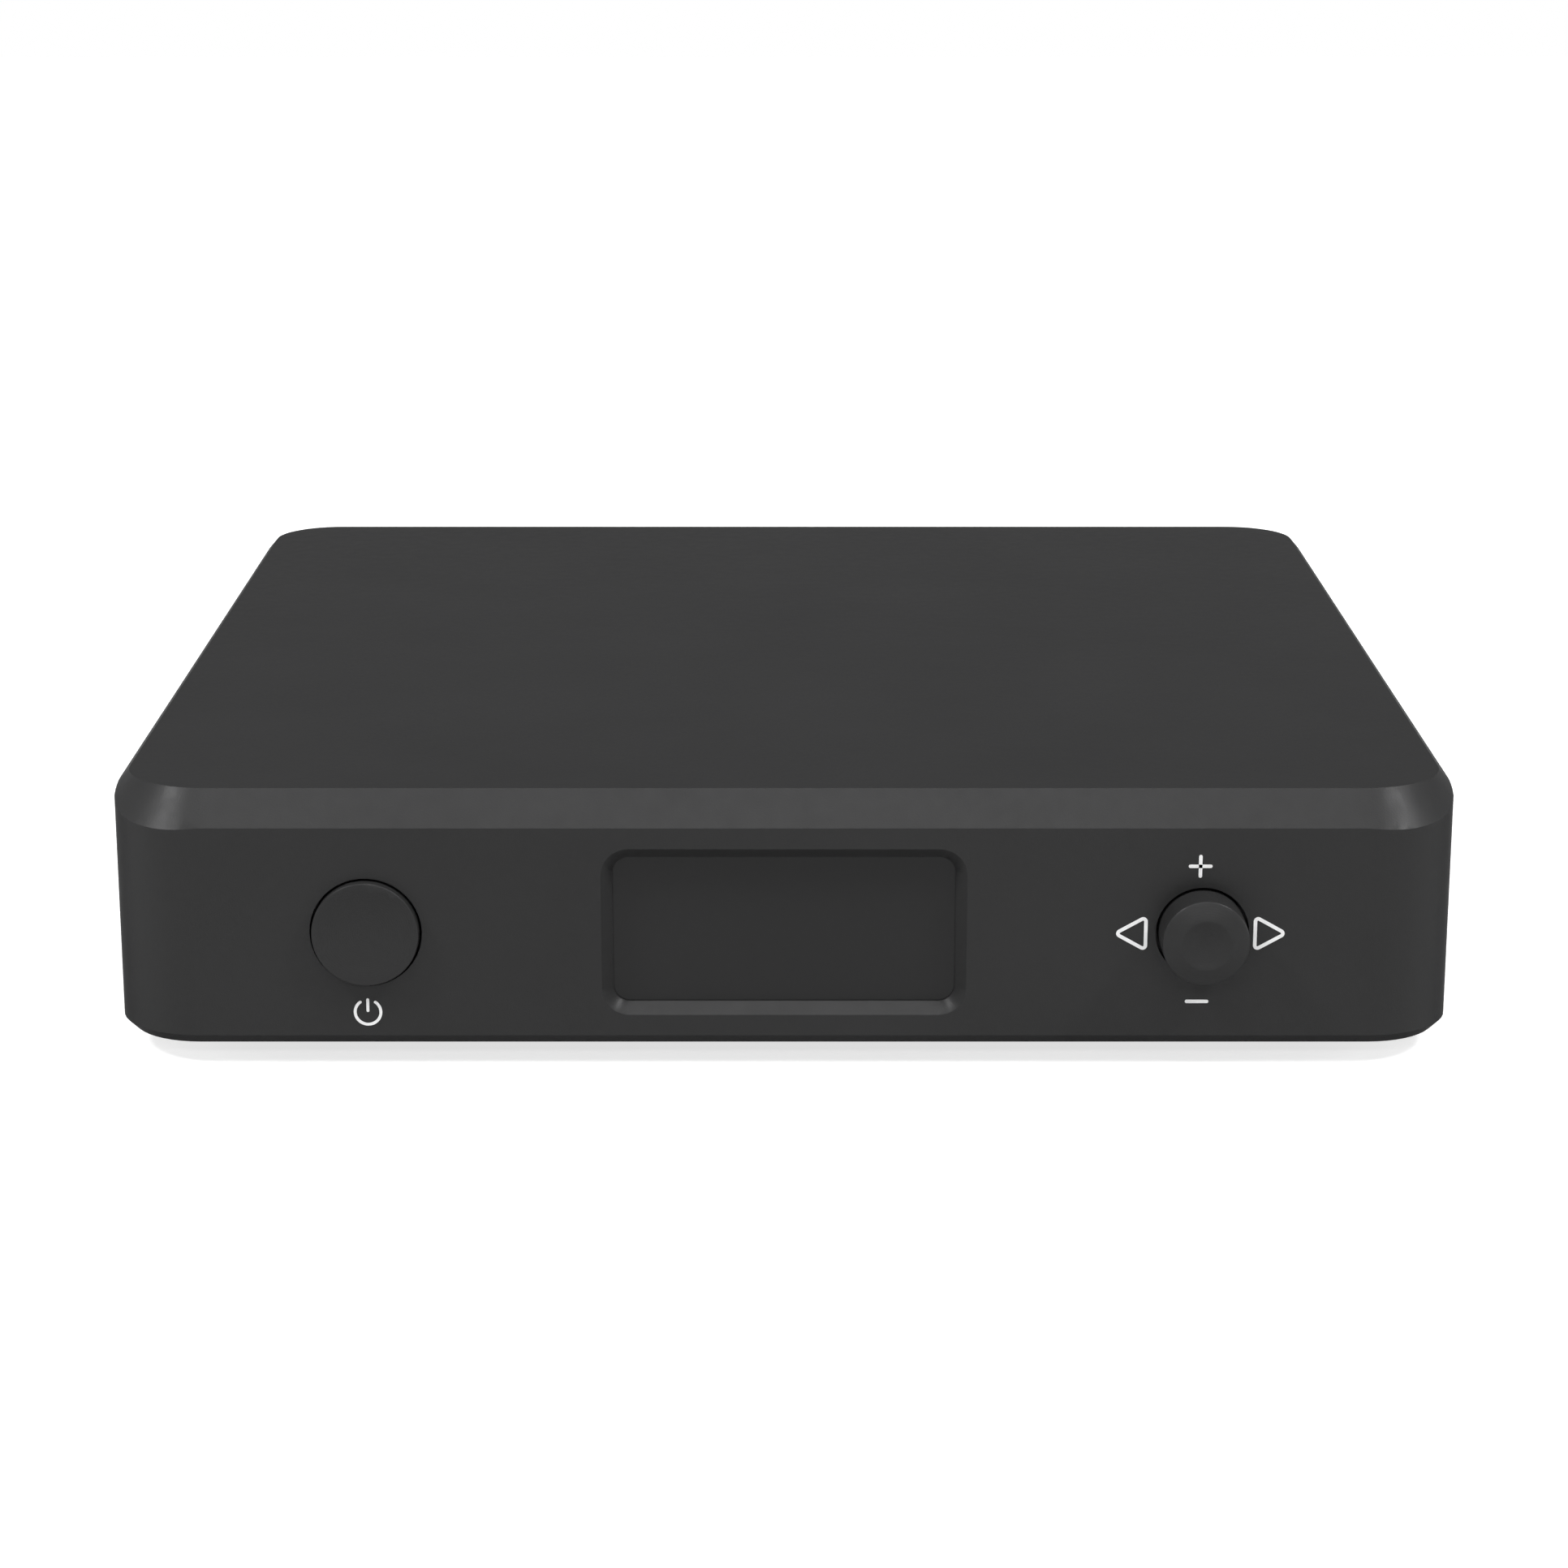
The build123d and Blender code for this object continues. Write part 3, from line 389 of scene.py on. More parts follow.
def make_finishes():
    """One material for each slot of the record, by the slot's name."""
    scene = bpy.context.scene
    case, boards = scene.dac_case, scene.dac_boards
    sockets, display = scene.dac_sockets, scene.dac_display
    black = (0.018, 0.018, 0.019)
    finishes = {
        "case_anodised": blasted("case_anodised", case.shade),
        "panel_anodised": blasted("panel_anodised", case.shade),
        "plate_painted": coated("plate_painted", case.plate_shade),
        "button_anodised": blasted("button_anodised", case.control_shade)
        .rings(BUTTON, case.turning, case.turning_depth),
        "stick_anodised": blasted("stick_anodised", case.control_shade)
        .rings(STICK, case.turning, case.turning_depth),
        "screw_black": plated("screw_black", (0.03, 0.03, 0.032), 0.38),
        "screw_zinc": plated("screw_zinc", (0.60, 0.61, 0.62), 0.28),
        "foot_rubber": rubber("foot_rubber", (0.013, 0.013, 0.013)),
        "gasket_foam": rubber("gasket_foam", (0.008, 0.008, 0.008)),
        "tray_steel": plated("tray_steel", (0.50, 0.50, 0.50), 0.35),
        "tinned_steel": plated("tinned_steel", (0.62, 0.62, 0.60), 0.32),
        "spring_steel": plated("spring_steel", (0.55, 0.55, 0.56), 0.25),
        "oscillator_steel": plated("oscillator_steel", (0.66, 0.65, 0.62), 0.25),
        "standoff_brass": plated("standoff_brass", (0.70, 0.52, 0.22), 0.3),
        "gold_plate": plated("gold_plate", sockets.gold, 0.18),
        "nickel_plate": plated("nickel_plate", sockets.nickel, 0.22),
        "spring_bronze": plated("spring_bronze", (0.60, 0.36, 0.18), 0.28),
        "holder_plastic": moulded("holder_plastic", black),
        "switch_plastic": moulded("switch_plastic", black),
        "housing_black": moulded("housing_black", black),
        "tongue_plastic": moulded("tongue_plastic", (0.03, 0.03, 0.032)),
        "socket_plastic": moulded("socket_plastic", black, 0.5),
        "gimbal_plastic": moulded("gimbal_plastic", black),
        "connector_plastic": moulded("connector_plastic", (0.72, 0.68, 0.58)),
        "housing_red": moulded("housing_red", (0.42, 0.012, 0.012)),
        "housing_white": moulded("housing_white", (0.72, 0.72, 0.70)),
        "chip_plastic": moulded("chip_plastic", (0.014, 0.014, 0.015), 0.55),
        "relay_plastic": moulded("relay_plastic", (0.74, 0.74, 0.72)),
        "inductor_ferrite": moulded("inductor_ferrite", (0.05, 0.05, 0.052), 0.6),
        "capacitor_sleeve": moulded("capacitor_sleeve", (0.02, 0.035, 0.10), 0.3),
        "emitter_lens": moulded("emitter_lens", (0.18, 0.012, 0.012), 0.12),
        "screen_glass": moulded("screen_glass", (0.012, 0.012, 0.013), 0.15),
        "ribbon_film": moulded("ribbon_film", (0.50, 0.27, 0.06), 0.3),
        "board_laminate": laminate("board_laminate", boards.mask),
    }
    window = Finish("window_glass", display.glass, display.gloss, 0.0, display.shine)
    finishes["window_glass"] = window.mottle(8 * MM, 0.02).grain(0.3 * MM, 0.0015 * MM)
    return {slot: finish.material for slot, finish in finishes.items()}


def material(slot):
    """The finish of a material slot."""
    return bpy.data.materials[slot + FINISH_END]


# ---- building blocks ----

def set_body(piece, body):
    """Puts a finished piece on the body that it rides on."""
    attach(piece, body)
    return piece


def twin(node, name, flat_angle=0.0):
    """A merged copy of a CAD node with its finish, its faces flatter than the angle joined."""
    mesh = bpy.data.meshes.new(name)
    bm = bmesh.new()
    bm.from_mesh(frame["nodes"][node].data)
    bmesh.ops.remove_doubles(bm, verts=bm.verts, dist=1e-7)
    if flat_angle:
        bmesh.ops.dissolve_limit(
            bm, angle_limit=math.radians(flat_angle), use_dissolve_boundaries=False,
            verts=bm.verts, edges=bm.edges)
    bm.to_mesh(mesh)
    bm.free()
    mesh.materials.clear()
    mesh.materials.append(material(slot_of(node)))
    return linked(name, mesh)


def softened(node, body, width, name):
    """A copy of a CAD node with its sharp edges slightly rounded, which stands for it."""
    piece = twin(node, name, FLAT)
    bevel = piece.modifiers.new("soft edges", "BEVEL")
    bevel.width = width
    bevel.segments = 2
    bevel.limit_method = "ANGLE"
    bevel.angle_limit = math.radians(SHARP)
    bevel.use_clamp_overlap = True
    bevel.harden_normals = False
    settle(piece)
    smooth(piece, SHARP)
    flatten = piece.modifiers.new("flat faces", "WEIGHTED_NORMAL")
    flatten.keep_sharp = True
    settle(piece)
    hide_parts(node)
    return set_body(piece, body)


def smooth(piece, degrees):
    """Smooth shading that keeps edges sharper than the angle."""
    mesh = piece.data
    mesh.polygons.foreach_set("use_smooth", [True] * len(mesh.polygons))
    bm = bmesh.new()
    bm.from_mesh(mesh)
    for edge in bm.edges:
        edge.smooth = len(edge.link_faces) == 2 and edge.calc_face_angle(0) < math.radians(degrees)
    bm.to_mesh(mesh)
    bm.free()


def settle(piece):
    """Applies every modifier: the piece becomes a plain mesh."""
    graph = bpy.context.evaluated_depsgraph_get()
    mesh = bpy.data.meshes.new_from_object(piece.evaluated_get(graph), depsgraph=graph)
    piece.modifiers.clear()
    old = piece.data
    if piece.type == "MESH":
        piece.data = mesh
        bpy.data.meshes.remove(old)
        return piece
    name = piece.name
    bpy.data.objects.remove(piece)
    return linked(name, mesh)


def slot_of(node):
    """The record's material slot of a CAD node."""
    rows = {row["node"]: row["material_slot"] for row in frame["record"]["subparts"]}
    return rows[node]


# ---- geometry node trees ----

class Tree:
    """A geometry node tree with named inputs, which ends in Realize Instances and Set Material."""

    def __init__(self, name, inputs):
        self.group = bpy.data.node_groups.new(name, "GeometryNodeTree")
        self.group.is_modifier = True
        face = self.group.interface
        face.new_socket("Geometry", in_out="INPUT", socket_type="NodeSocketGeometry")
        kinds = {float: "NodeSocketFloat", int: "NodeSocketInt", Vector: "NodeSocketVector"}
        for key, value in inputs.items():
            socket = face.new_socket(key, in_out="INPUT", socket_type=kinds[type(value)])
            socket.default_value = value
        face.new_socket("Material", in_out="INPUT", socket_type="NodeSocketMaterial")
        face.new_socket("Geometry", in_out="OUTPUT", socket_type="NodeSocketGeometry")
        self.start = self.group.nodes.new("NodeGroupInput")

    def add(self, kind, values=None, **attributes):
        """Adds a node. A value that is a socket is linked, and any other is set."""
        node = self.group.nodes.new(kind)
        for key, value in attributes.items():
            setattr(node, key, value)
        for key, value in (values or {}).items():
            self.feed(node.inputs[key], value)
        return node.outputs

    def feed(self, socket, value):
        if isinstance(value, bpy.types.NodeSocket):
            self.group.links.new(value, socket)
        else:
            socket.default_value = value

    def input(self, name):
        return self.start.outputs[name]

    def math(self, operation, a, b=0.0):
        return self.add("ShaderNodeMath", {0: a, 1: b}, operation=operation)[0]

    def vector(self, x=0.0, y=0.0, z=0.0):
        return self.add("ShaderNodeCombineXYZ", {"X": x, "Y": y, "Z": z})[0]

    def finish(self, geometry):
        real = self.add("GeometryNodeRealizeInstances", {"Geometry": geometry})[0]
        painted = self.add(
            "GeometryNodeSetMaterial", {"Geometry": real, "Material": self.input("Material")})[0]
        end = self.group.nodes.new("NodeGroupOutput")
        self.group.links.new(painted, end.inputs["Geometry"])
        return self.group


def grow(name, base, group, values, slot, finish=None):
    """Runs a tree on a base object, and keeps the result as a plain mesh on the case."""
    modifier = base.modifiers.new(group.name, "NODES")
    modifier.node_group = group
    wanted = dict(values, Material=material(finish or slot))
    for item in group.interface.items_tree:
        if item.in_out == "INPUT" and item.name in wanted:
            modifier[item.identifier] = wanted[item.name]
    base.name = name + ".base"
    piece = settle(base)
    piece.name = name
    smooth(piece, SHARP_GROWN)
    return set_body(piece, "case")


def mesh_base(points=(), faces=()):
    """A mesh object to start a tree on, empty for a tree that makes all its own geometry."""
    mesh = bpy.data.meshes.new("base")
    mesh.from_pydata(points, [], faces)
    return linked("base", mesh)


def path_base(runs):
    """A curve of straight runs: each is (points, closed), with points as (across, up)."""
    curve = bpy.data.curves.new("base", "CURVE")
    curve.dimensions = "3D"
    for points, closed in runs:
        spline = curve.splines.new("POLY")
        spline.points.add(len(points) - 1)
        for target, (x, y) in zip(spline.points, points):
            target.co = (x, y, 0, 1)
        spline.use_cyclic_u = closed
    return linked("base", curve)


def stroke_tree():
    """Prints a flat line of ink along a path, standing upright on the front face."""
    tree = Tree("printed_line", {"Stroke": 0.0, "Thickness": 0.0, "Corner": 0.0, "Ends": 0,
                                 "Place": Vector()})
    rounded = tree.add(
        "GeometryNodeFilletCurve",
        {"Curve": tree.input("Geometry"), "Radius": tree.input("Corner"), "Limit Radius": True,
         "Count": 8}, mode="POLY")[0]
    flat = tree.add("GeometryNodeSetCurveNormal", {"Curve": rounded}, mode="Z_UP")[0]
    profile = tree.add(
        "GeometryNodeCurvePrimitiveQuadrilateral",
        {"Width": tree.input("Stroke"), "Height": tree.input("Thickness")}, mode="RECTANGLE")[0]
    line = tree.add(
        "GeometryNodeCurveToMesh", {"Curve": flat, "Profile Curve": profile, "Fill Caps": True})[0]
    ends = tree.add(
        "GeometryNodeCurveEndpointSelection",
        {"Start Size": tree.input("Ends"), "End Size": tree.input("Ends")})[0]
    disc = tree.add(
        "GeometryNodeMeshCylinder",
        {"Vertices": 24, "Radius": tree.math("MULTIPLY", tree.input("Stroke"), 0.5),
         "Depth": tree.math("MULTIPLY", tree.input("Thickness"), 0.96)})[0]
    caps = tree.add(
        "GeometryNodeInstanceOnPoints",
        {"Points": flat, "Selection": ends, "Instance": disc})[0]
    both = tree.group.nodes.new("GeometryNodeJoinGeometry")
    tree.feed(both.inputs[0], line)
    tree.feed(both.inputs[0], caps)
    upright = tree.add(
        "GeometryNodeTransform",
        {"Geometry": both.outputs[0], "Translation": tree.input("Place"),
         "Rotation": (math.pi / 2, 0, 0)})[0]
    return tree.finish(upright)


def ring_stack_tree():
    """Rings of a ridged profile, one behind another along Y: the crests of a thread."""
    tree = Tree("thread_crests",
                {"Radius": 0.0, "Depth": 0.0, "Pitch": 0.0, "Count": 1, "Place": Vector()})
    circle = tree.add(
        "GeometryNodeCurvePrimitiveCircle", {"Resolution": 48, "Radius": tree.input("Radius")},
        mode="RADIUS")[0]
    ridge = tree.add(
        "GeometryNodeCurvePrimitiveCircle", {"Resolution": 4, "Radius": tree.input("Depth")},
        mode="RADIUS")[0]
    ring = tree.add("GeometryNodeCurveToMesh", {"Curve": circle, "Profile Curve": ridge})[0]
    upright = tree.add(
        "GeometryNodeTransform", {"Geometry": ring, "Rotation": (math.pi / 2, 0, 0)})[0]
    step = tree.vector(0.0, tree.input("Pitch"), 0.0)
    line = tree.add(
        "GeometryNodeMeshLine",
        {"Count": tree.input("Count"), "Start Location": tree.input("Place"), "Offset": step},
        mode="OFFSET")[0]
    stack = tree.add("GeometryNodeInstanceOnPoints", {"Points": line, "Instance": upright})[0]
    return tree.finish(stack)


def bar_row_tree():
    """A row of equal bars: contacts of a socket or legs of a chip."""
    tree = Tree("bar_row", {"Size": Vector(), "Step": Vector(), "Start": Vector(), "Count": 1})
    bar = tree.add("GeometryNodeMeshCube", {"Size": tree.input("Size")})[0]
    line = tree.add(
        "GeometryNodeMeshLine",
        {"Count": tree.input("Count"), "Start Location": tree.input("Start"),
         "Offset": tree.input("Step")}, mode="OFFSET")[0]
    row = tree.add("GeometryNodeInstanceOnPoints", {"Points": line, "Instance": bar})[0]
    return tree.finish(row)


def leg_ring_tree():
    """Repeats one leg along the four sides of a square chip."""
    tree = Tree("leg_ring", {"Count": 1, "Pitch": 0.0, "Side": 0.0, "Place": Vector()})
    spaces = tree.math("SUBTRACT", tree.input("Count"), 1.0)
    first = tree.math("MULTIPLY", tree.math("MULTIPLY", spaces, tree.input("Pitch")), -0.5)
    start = tree.vector(first, tree.math("MULTIPLY", tree.input("Side"), -1.0), 0.0)
    line = tree.add(
        "GeometryNodeMeshLine",
        {"Count": tree.input("Count"), "Start Location": start,
         "Offset": tree.vector(tree.input("Pitch"), 0.0, 0.0)}, mode="OFFSET")[0]
    row = tree.add(
        "GeometryNodeInstanceOnPoints", {"Points": line, "Instance": tree.input("Geometry")})[0]
    quarter = tree.math("MULTIPLY", tree.add("GeometryNodeInputIndex")[0], math.pi / 2)
    sides = tree.add("GeometryNodeMeshLine", {"Count": 4, "Offset": (0, 0, 0)}, mode="OFFSET")[0]
    ring = tree.add(
        "GeometryNodeInstanceOnPoints",
        {"Points": sides, "Instance": row, "Rotation": tree.vector(0.0, 0.0, quarter)})[0]
    placed = tree.add(
        "GeometryNodeTransform", {"Geometry": ring, "Translation": tree.input("Place")})[0]
    return tree.finish(placed)


def small_parts_tree():
    """Sets a bar on a seeded choice of places, lengthwise or crosswise."""
    tree = Tree("small_parts", {"Size": Vector(), "Fill": 0.0, "Seed": 0})
    bar = tree.add("GeometryNodeMeshCube", {"Size": tree.input("Size")})[0]
    chosen = tree.add(
        "FunctionNodeRandomValue",
        {"Probability": tree.input("Fill"), "Seed": tree.input("Seed")}, data_type="BOOLEAN")[3]
    across = tree.add(
        "FunctionNodeRandomValue",
        {"Probability": 0.5, "Seed": tree.math("ADD", tree.input("Seed"), 1.0)},
        data_type="BOOLEAN")[3]
    turn = tree.vector(0.0, 0.0, tree.math("MULTIPLY", across, math.pi / 2))
    parts = tree.add(
        "GeometryNodeInstanceOnPoints",
        {"Points": tree.input("Geometry"), "Selection": chosen, "Instance": bar,
         "Rotation": turn})[0]
    return tree.finish(parts)


def gull_wing(length, width, rise, thickness):
    """One bent leg: out of the chip's side along -Y, down and out along the board."""
    bend, foot = length * 0.28, length * 0.5    # where the leg turns down, and flat again
    outline = [
        (0, rise + thickness), (bend, rise + thickness), (foot, thickness), (length, thickness),
        (length, 0), (foot - thickness, 0), (bend - thickness, rise), (0, rise)]
    points = [(side * width / 2, -y, z) for side in (-1, 1) for y, z in outline]
    count = len(outline)
    faces = [(i, (i + 1) % count, count + (i + 1) % count, count + i) for i in range(count)]
    quads = ((0, 1, 6, 7), (1, 2, 5, 6), (2, 3, 4, 5))
    for first in (0, count):
        faces += [tuple(first + i for i in quad) for quad in quads]
    base = mesh_base(points, faces)
    bm = bmesh.new()
    bm.from_mesh(base.data)
    bmesh.ops.recalc_face_normals(bm, faces=bm.faces)
    bm.to_mesh(base.data)
    bm.free()
    return base


def join(pieces, name):
    """Joins finished meshes into one plain piece."""
    bm = bmesh.new()
    for piece in pieces:
        bm.from_mesh(piece.data)
    mesh = bpy.data.meshes.new(name)
    bm.to_mesh(mesh)
    bm.free()
    for slot_material in pieces[0].data.materials:
        mesh.materials.append(slot_material)
    for piece in pieces:
        bpy.data.objects.remove(piece)
    return linked(name, mesh)


def tree_named(name, maker):
    """The tree of that name, made at its first use."""
    return bpy.data.node_groups.get(name) or maker()


# ---- operators ----

class DacOperator(bpy.types.Operator):
    """Base of this file's operators."""

    bl_options = {"REGISTER", "UNDO"}


class DAC_OT_finishes(DacOperator):
    """Make every finish and give it to the CAD nodes by their slots"""

    bl_idname = "dac.finishes"
    bl_label = "Finishes"

    def execute(self, context):
        make_finishes()
        for name, node in frame["nodes"].items():
            node.data.materials.clear()
            node.data.materials.append(material(slot_of(name)))
            node.data.polygons.foreach_set("material_index", [0] * len(node.data.polygons))
        return {"FINISHED"}


class DAC_OT_case(DacOperator):
    """Soften the edges of the case and its rear panel"""

    bl_idname = "dac.case"
    bl_label = "Case"

    def execute(self, context):
        edge = context.scene.dac_case.edge
        softened("top_shell", "case", edge, "case_shell")
        softened("rear_panel", "case", edge, "rear_panel_plate")
        return {"FINISHED"}


class DAC_OT_controls(DacOperator):
    """Soften the edges of the power button and the joystick"""

    bl_idname = "dac.controls"
    bl_label = "Button and joystick"

    def execute(self, context):
        edge = context.scene.dac_case.edge
        softened("power_button_cap", "power_button", edge, "power_button")
        softened("joystick_cap", "stick_press", edge, "joystick")
        self.return_spring()
        return {"FINISHED"}

    def return_spring(self):
        """The coil behind the button: a smooth-shaded copy of its CAD node, which stands for it."""
        piece = twin("power_button_spring", "return_spring")
        smooth(piece, SHARP_COIL)
        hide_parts("power_button_spring")
        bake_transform(piece)


class DAC_OT_marks(DacOperator):
    """Print the power sign, the plus, the minus and the two triangles on the front"""

    bl_idname = "dac.marks"
    bl_label = "Printed signs"

    def execute(self, context):
        marks = context.scene.dac_marks
        ink = Finish("printed_ink", marks.ink, 0.6, 0.0, 0.3)
        ink.mottle(0.5 * MM, 0.03).grain(0.1 * MM, 0.002 * MM)
        half = marks.stroke / 2
        reach = marks.sign_size / 2 - half
        middle = STICK.x + marks.shift
        level = STICK.z - marks.drop
        self.sign("plus_sign", middle + marks.lean, level + marks.sign_distance, [
            ([(-reach, 0), (reach, 0)], False),
            ([(0, -reach), (0, reach)], False)])
        self.sign("minus_sign", middle + marks.lean, level - marks.sign_distance,
                  [([(-reach, 0), (reach, 0)], False)])
        for name, side in (("left_triangle", -1), ("right_triangle", 1)):
            wide = marks.arrow_width / 2 - half
            high = marks.arrow_height / 2 - half
            points = [(side * wide, 0), (-side * wide, high), (-side * wide, -high)]
            self.sign(name, middle + side * marks.arrow_distance, level + marks.rise,
                      [(points, True)])
        half = marks.power_stroke / 2
        radius = marks.power_size / 2 - half
        steps = 40
        sweep = 2 * math.pi - 2 * marks.power_gap
        angles = [math.pi / 2 + marks.power_gap + sweep * i / steps for i in range(steps + 1)]
        ring = [(radius * math.cos(a), radius * math.sin(a)) for a in angles]
        self.sign("power_sign", BUTTON.x, BUTTON.z - marks.power_drop,
                  [(ring, False), ([(0, half), (0, radius)], False)], marks.power_stroke, 0.0)
        return {"FINISHED"}

    def sign(self, name, x, z, runs, stroke=None, corner=None):
        """Prints one sign of straight runs, centred on a point of the front face."""
        marks = bpy.context.scene.dac_marks
        place = Vector((x, FRONT_Y - marks.thickness / 2, z))
        values = {"Stroke": stroke or marks.stroke, "Thickness": marks.thickness, "Place": place,
                  "Corner": marks.arrow_corner if corner is None else corner,
                  "Ends": 0 if runs[0][1] else 1}
        grow(name, path_base(runs), tree_named("printed_line", stroke_tree), values,
             "connector_plastic", "printed_ink")


class DAC_OT_display(DacOperator):
    """Soften the window's edge"""

    bl_idname = "dac.display"
    bl_label = "Display"

    def execute(self, context):
        softened("display_window", "case", context.scene.dac_case.edge, "window_pane")
        return {"FINISHED"}


class DAC_OT_sockets(DacOperator):
    """Cut the threads of the jack bushes and lay the contacts of the USB socket"""

    bl_idname = "dac.sockets"
    bl_label = "Sockets"

    def execute(self, context):
        sockets = context.scene.dac_sockets
        for side in ("left", "right"):
            low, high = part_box(f"jack_{side}_bush")
            nut_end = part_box(f"jack_{side}_nut")[1].y
            count = int((high.y - nut_end) / sockets.thread_pitch)
            start = high.y - count * sockets.thread_pitch + sockets.thread_pitch / 2
            middle = middle_of(f"jack_{side}_bush")
            values = {"Radius": (high.x - low.x) / 2, "Depth": sockets.thread_depth,
                      "Pitch": sockets.thread_pitch, "Count": count,
                      "Place": Vector((middle.x, start - sockets.thread_pitch / 4, middle.z))}
            grow(f"jack_{side}_thread", mesh_base(), tree_named("thread_crests", ring_stack_tree),
                 values, "nickel_plate")
        self.usb_contacts(sockets)
        return {"FINISHED"}

    def usb_contacts(self, sockets):
        """Flat contacts on both faces of the USB socket's tongue."""
        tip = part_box("usb_tongue")[1].y
        middle = middle_of("usb_tongue")
        span = sockets.contact_length
        size = Vector((sockets.contact_width, span, sockets.contact_thickness))
        first = middle.x - (sockets.contact_count - 1) / 2 * sockets.contact_pitch
        rows = []
        for side in (-1, 1):
            start = Vector((first, tip - span / 2 - sockets.contact_inset,
                            middle.z + side * sockets.contact_height))
            values = {"Size": size, "Step": Vector((sockets.contact_pitch, 0, 0)), "Start": start,
                      "Count": sockets.contact_count}
            rows.append(grow(f"usb_row_{side + 1}", mesh_base(),
                             tree_named("bar_row", bar_row_tree), values, "gold_plate"))
        set_body(join(rows, "usb_contacts"), "case")


class DAC_OT_boards(DacOperator):
    """Solder the chips' legs and the small parts to the main board"""

    bl_idname = "dac.boards"
    bl_label = "Board details"

    def execute(self, context):
        boards = context.scene.dac_boards
        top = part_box("main_board")[1].z
        for chip, name in (("dac_chip", "dac_chip_legs"), ("usb_bridge_chip", "usb_chip_legs")):
            low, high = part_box(chip)
            side = high.x - low.x
            middle = middle_of(chip)
            values = {"Count": int((side - 2 * boards.leg_margin) / boards.leg_pitch) + 1,
                      "Pitch": boards.leg_pitch, "Side": side / 2,
                      "Place": Vector((middle.x, middle.y, top))}
            leg = gull_wing(boards.leg_length, boards.leg_width, (high.z - top) / 2,
                            boards.leg_thickness)
            grow(name, leg, tree_named("leg_ring", leg_ring_tree), values, "tinned_steel")
        spots = self.free_spots(boards, top)
        part = Vector((boards.part_length, boards.part_width, boards.part_height))
        for name, slot, share, growth in (
                ("small_part_ends", "tinned_steel", 1.0, 1.0),
                ("small_part_bodies", "chip_plastic", boards.body_share, boards.body_growth)):
            size = Vector((part.x * share, part.y * growth, part.z * growth))
            places = [(x, y, top + size.z / 2) for x, y in spots]
            values = {"Size": size, "Fill": boards.fill, "Seed": boards.seed}
            grow(name, mesh_base(places), tree_named("small_parts", small_parts_tree), values,
                 slot)
        return {"FINISHED"}

    def free_spots(self, boards, top):
        """Places on the main board with nothing over them."""
        points, faces = [], []
        for name, node in frame["nodes"].items():
            if name in ("top_shell", "main_board"):
                continue
            first = len(points)
            points += [vertex.co.copy() for vertex in node.data.vertices]
            faces += [[first + i for i in face.vertices] for face in node.data.polygons]
        others = BVHTree.FromPolygons(points, faces)
        low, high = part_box("main_board")
        half = boards.part_room
        down = Vector((0, 0, -1))
        fall = 20 * MM    # how far each ray looks down on to the board
        spots = []
        for i in range(1, int((high.x - low.x) / boards.part_pitch)):
            for j in range(1, int((high.y - low.y) / boards.part_pitch)):
                x, y = low.x + i * boards.part_pitch, low.y + j * boards.part_pitch
                starts = [Vector((x + a * half, y + b * half, top + fall))
                          for a in (-1, 0, 1) for b in (-1, 0, 1)]
                if not any(others.ray_cast(start, down, fall)[0] for start in starts):
                    spots.append((x, y))
        return spots


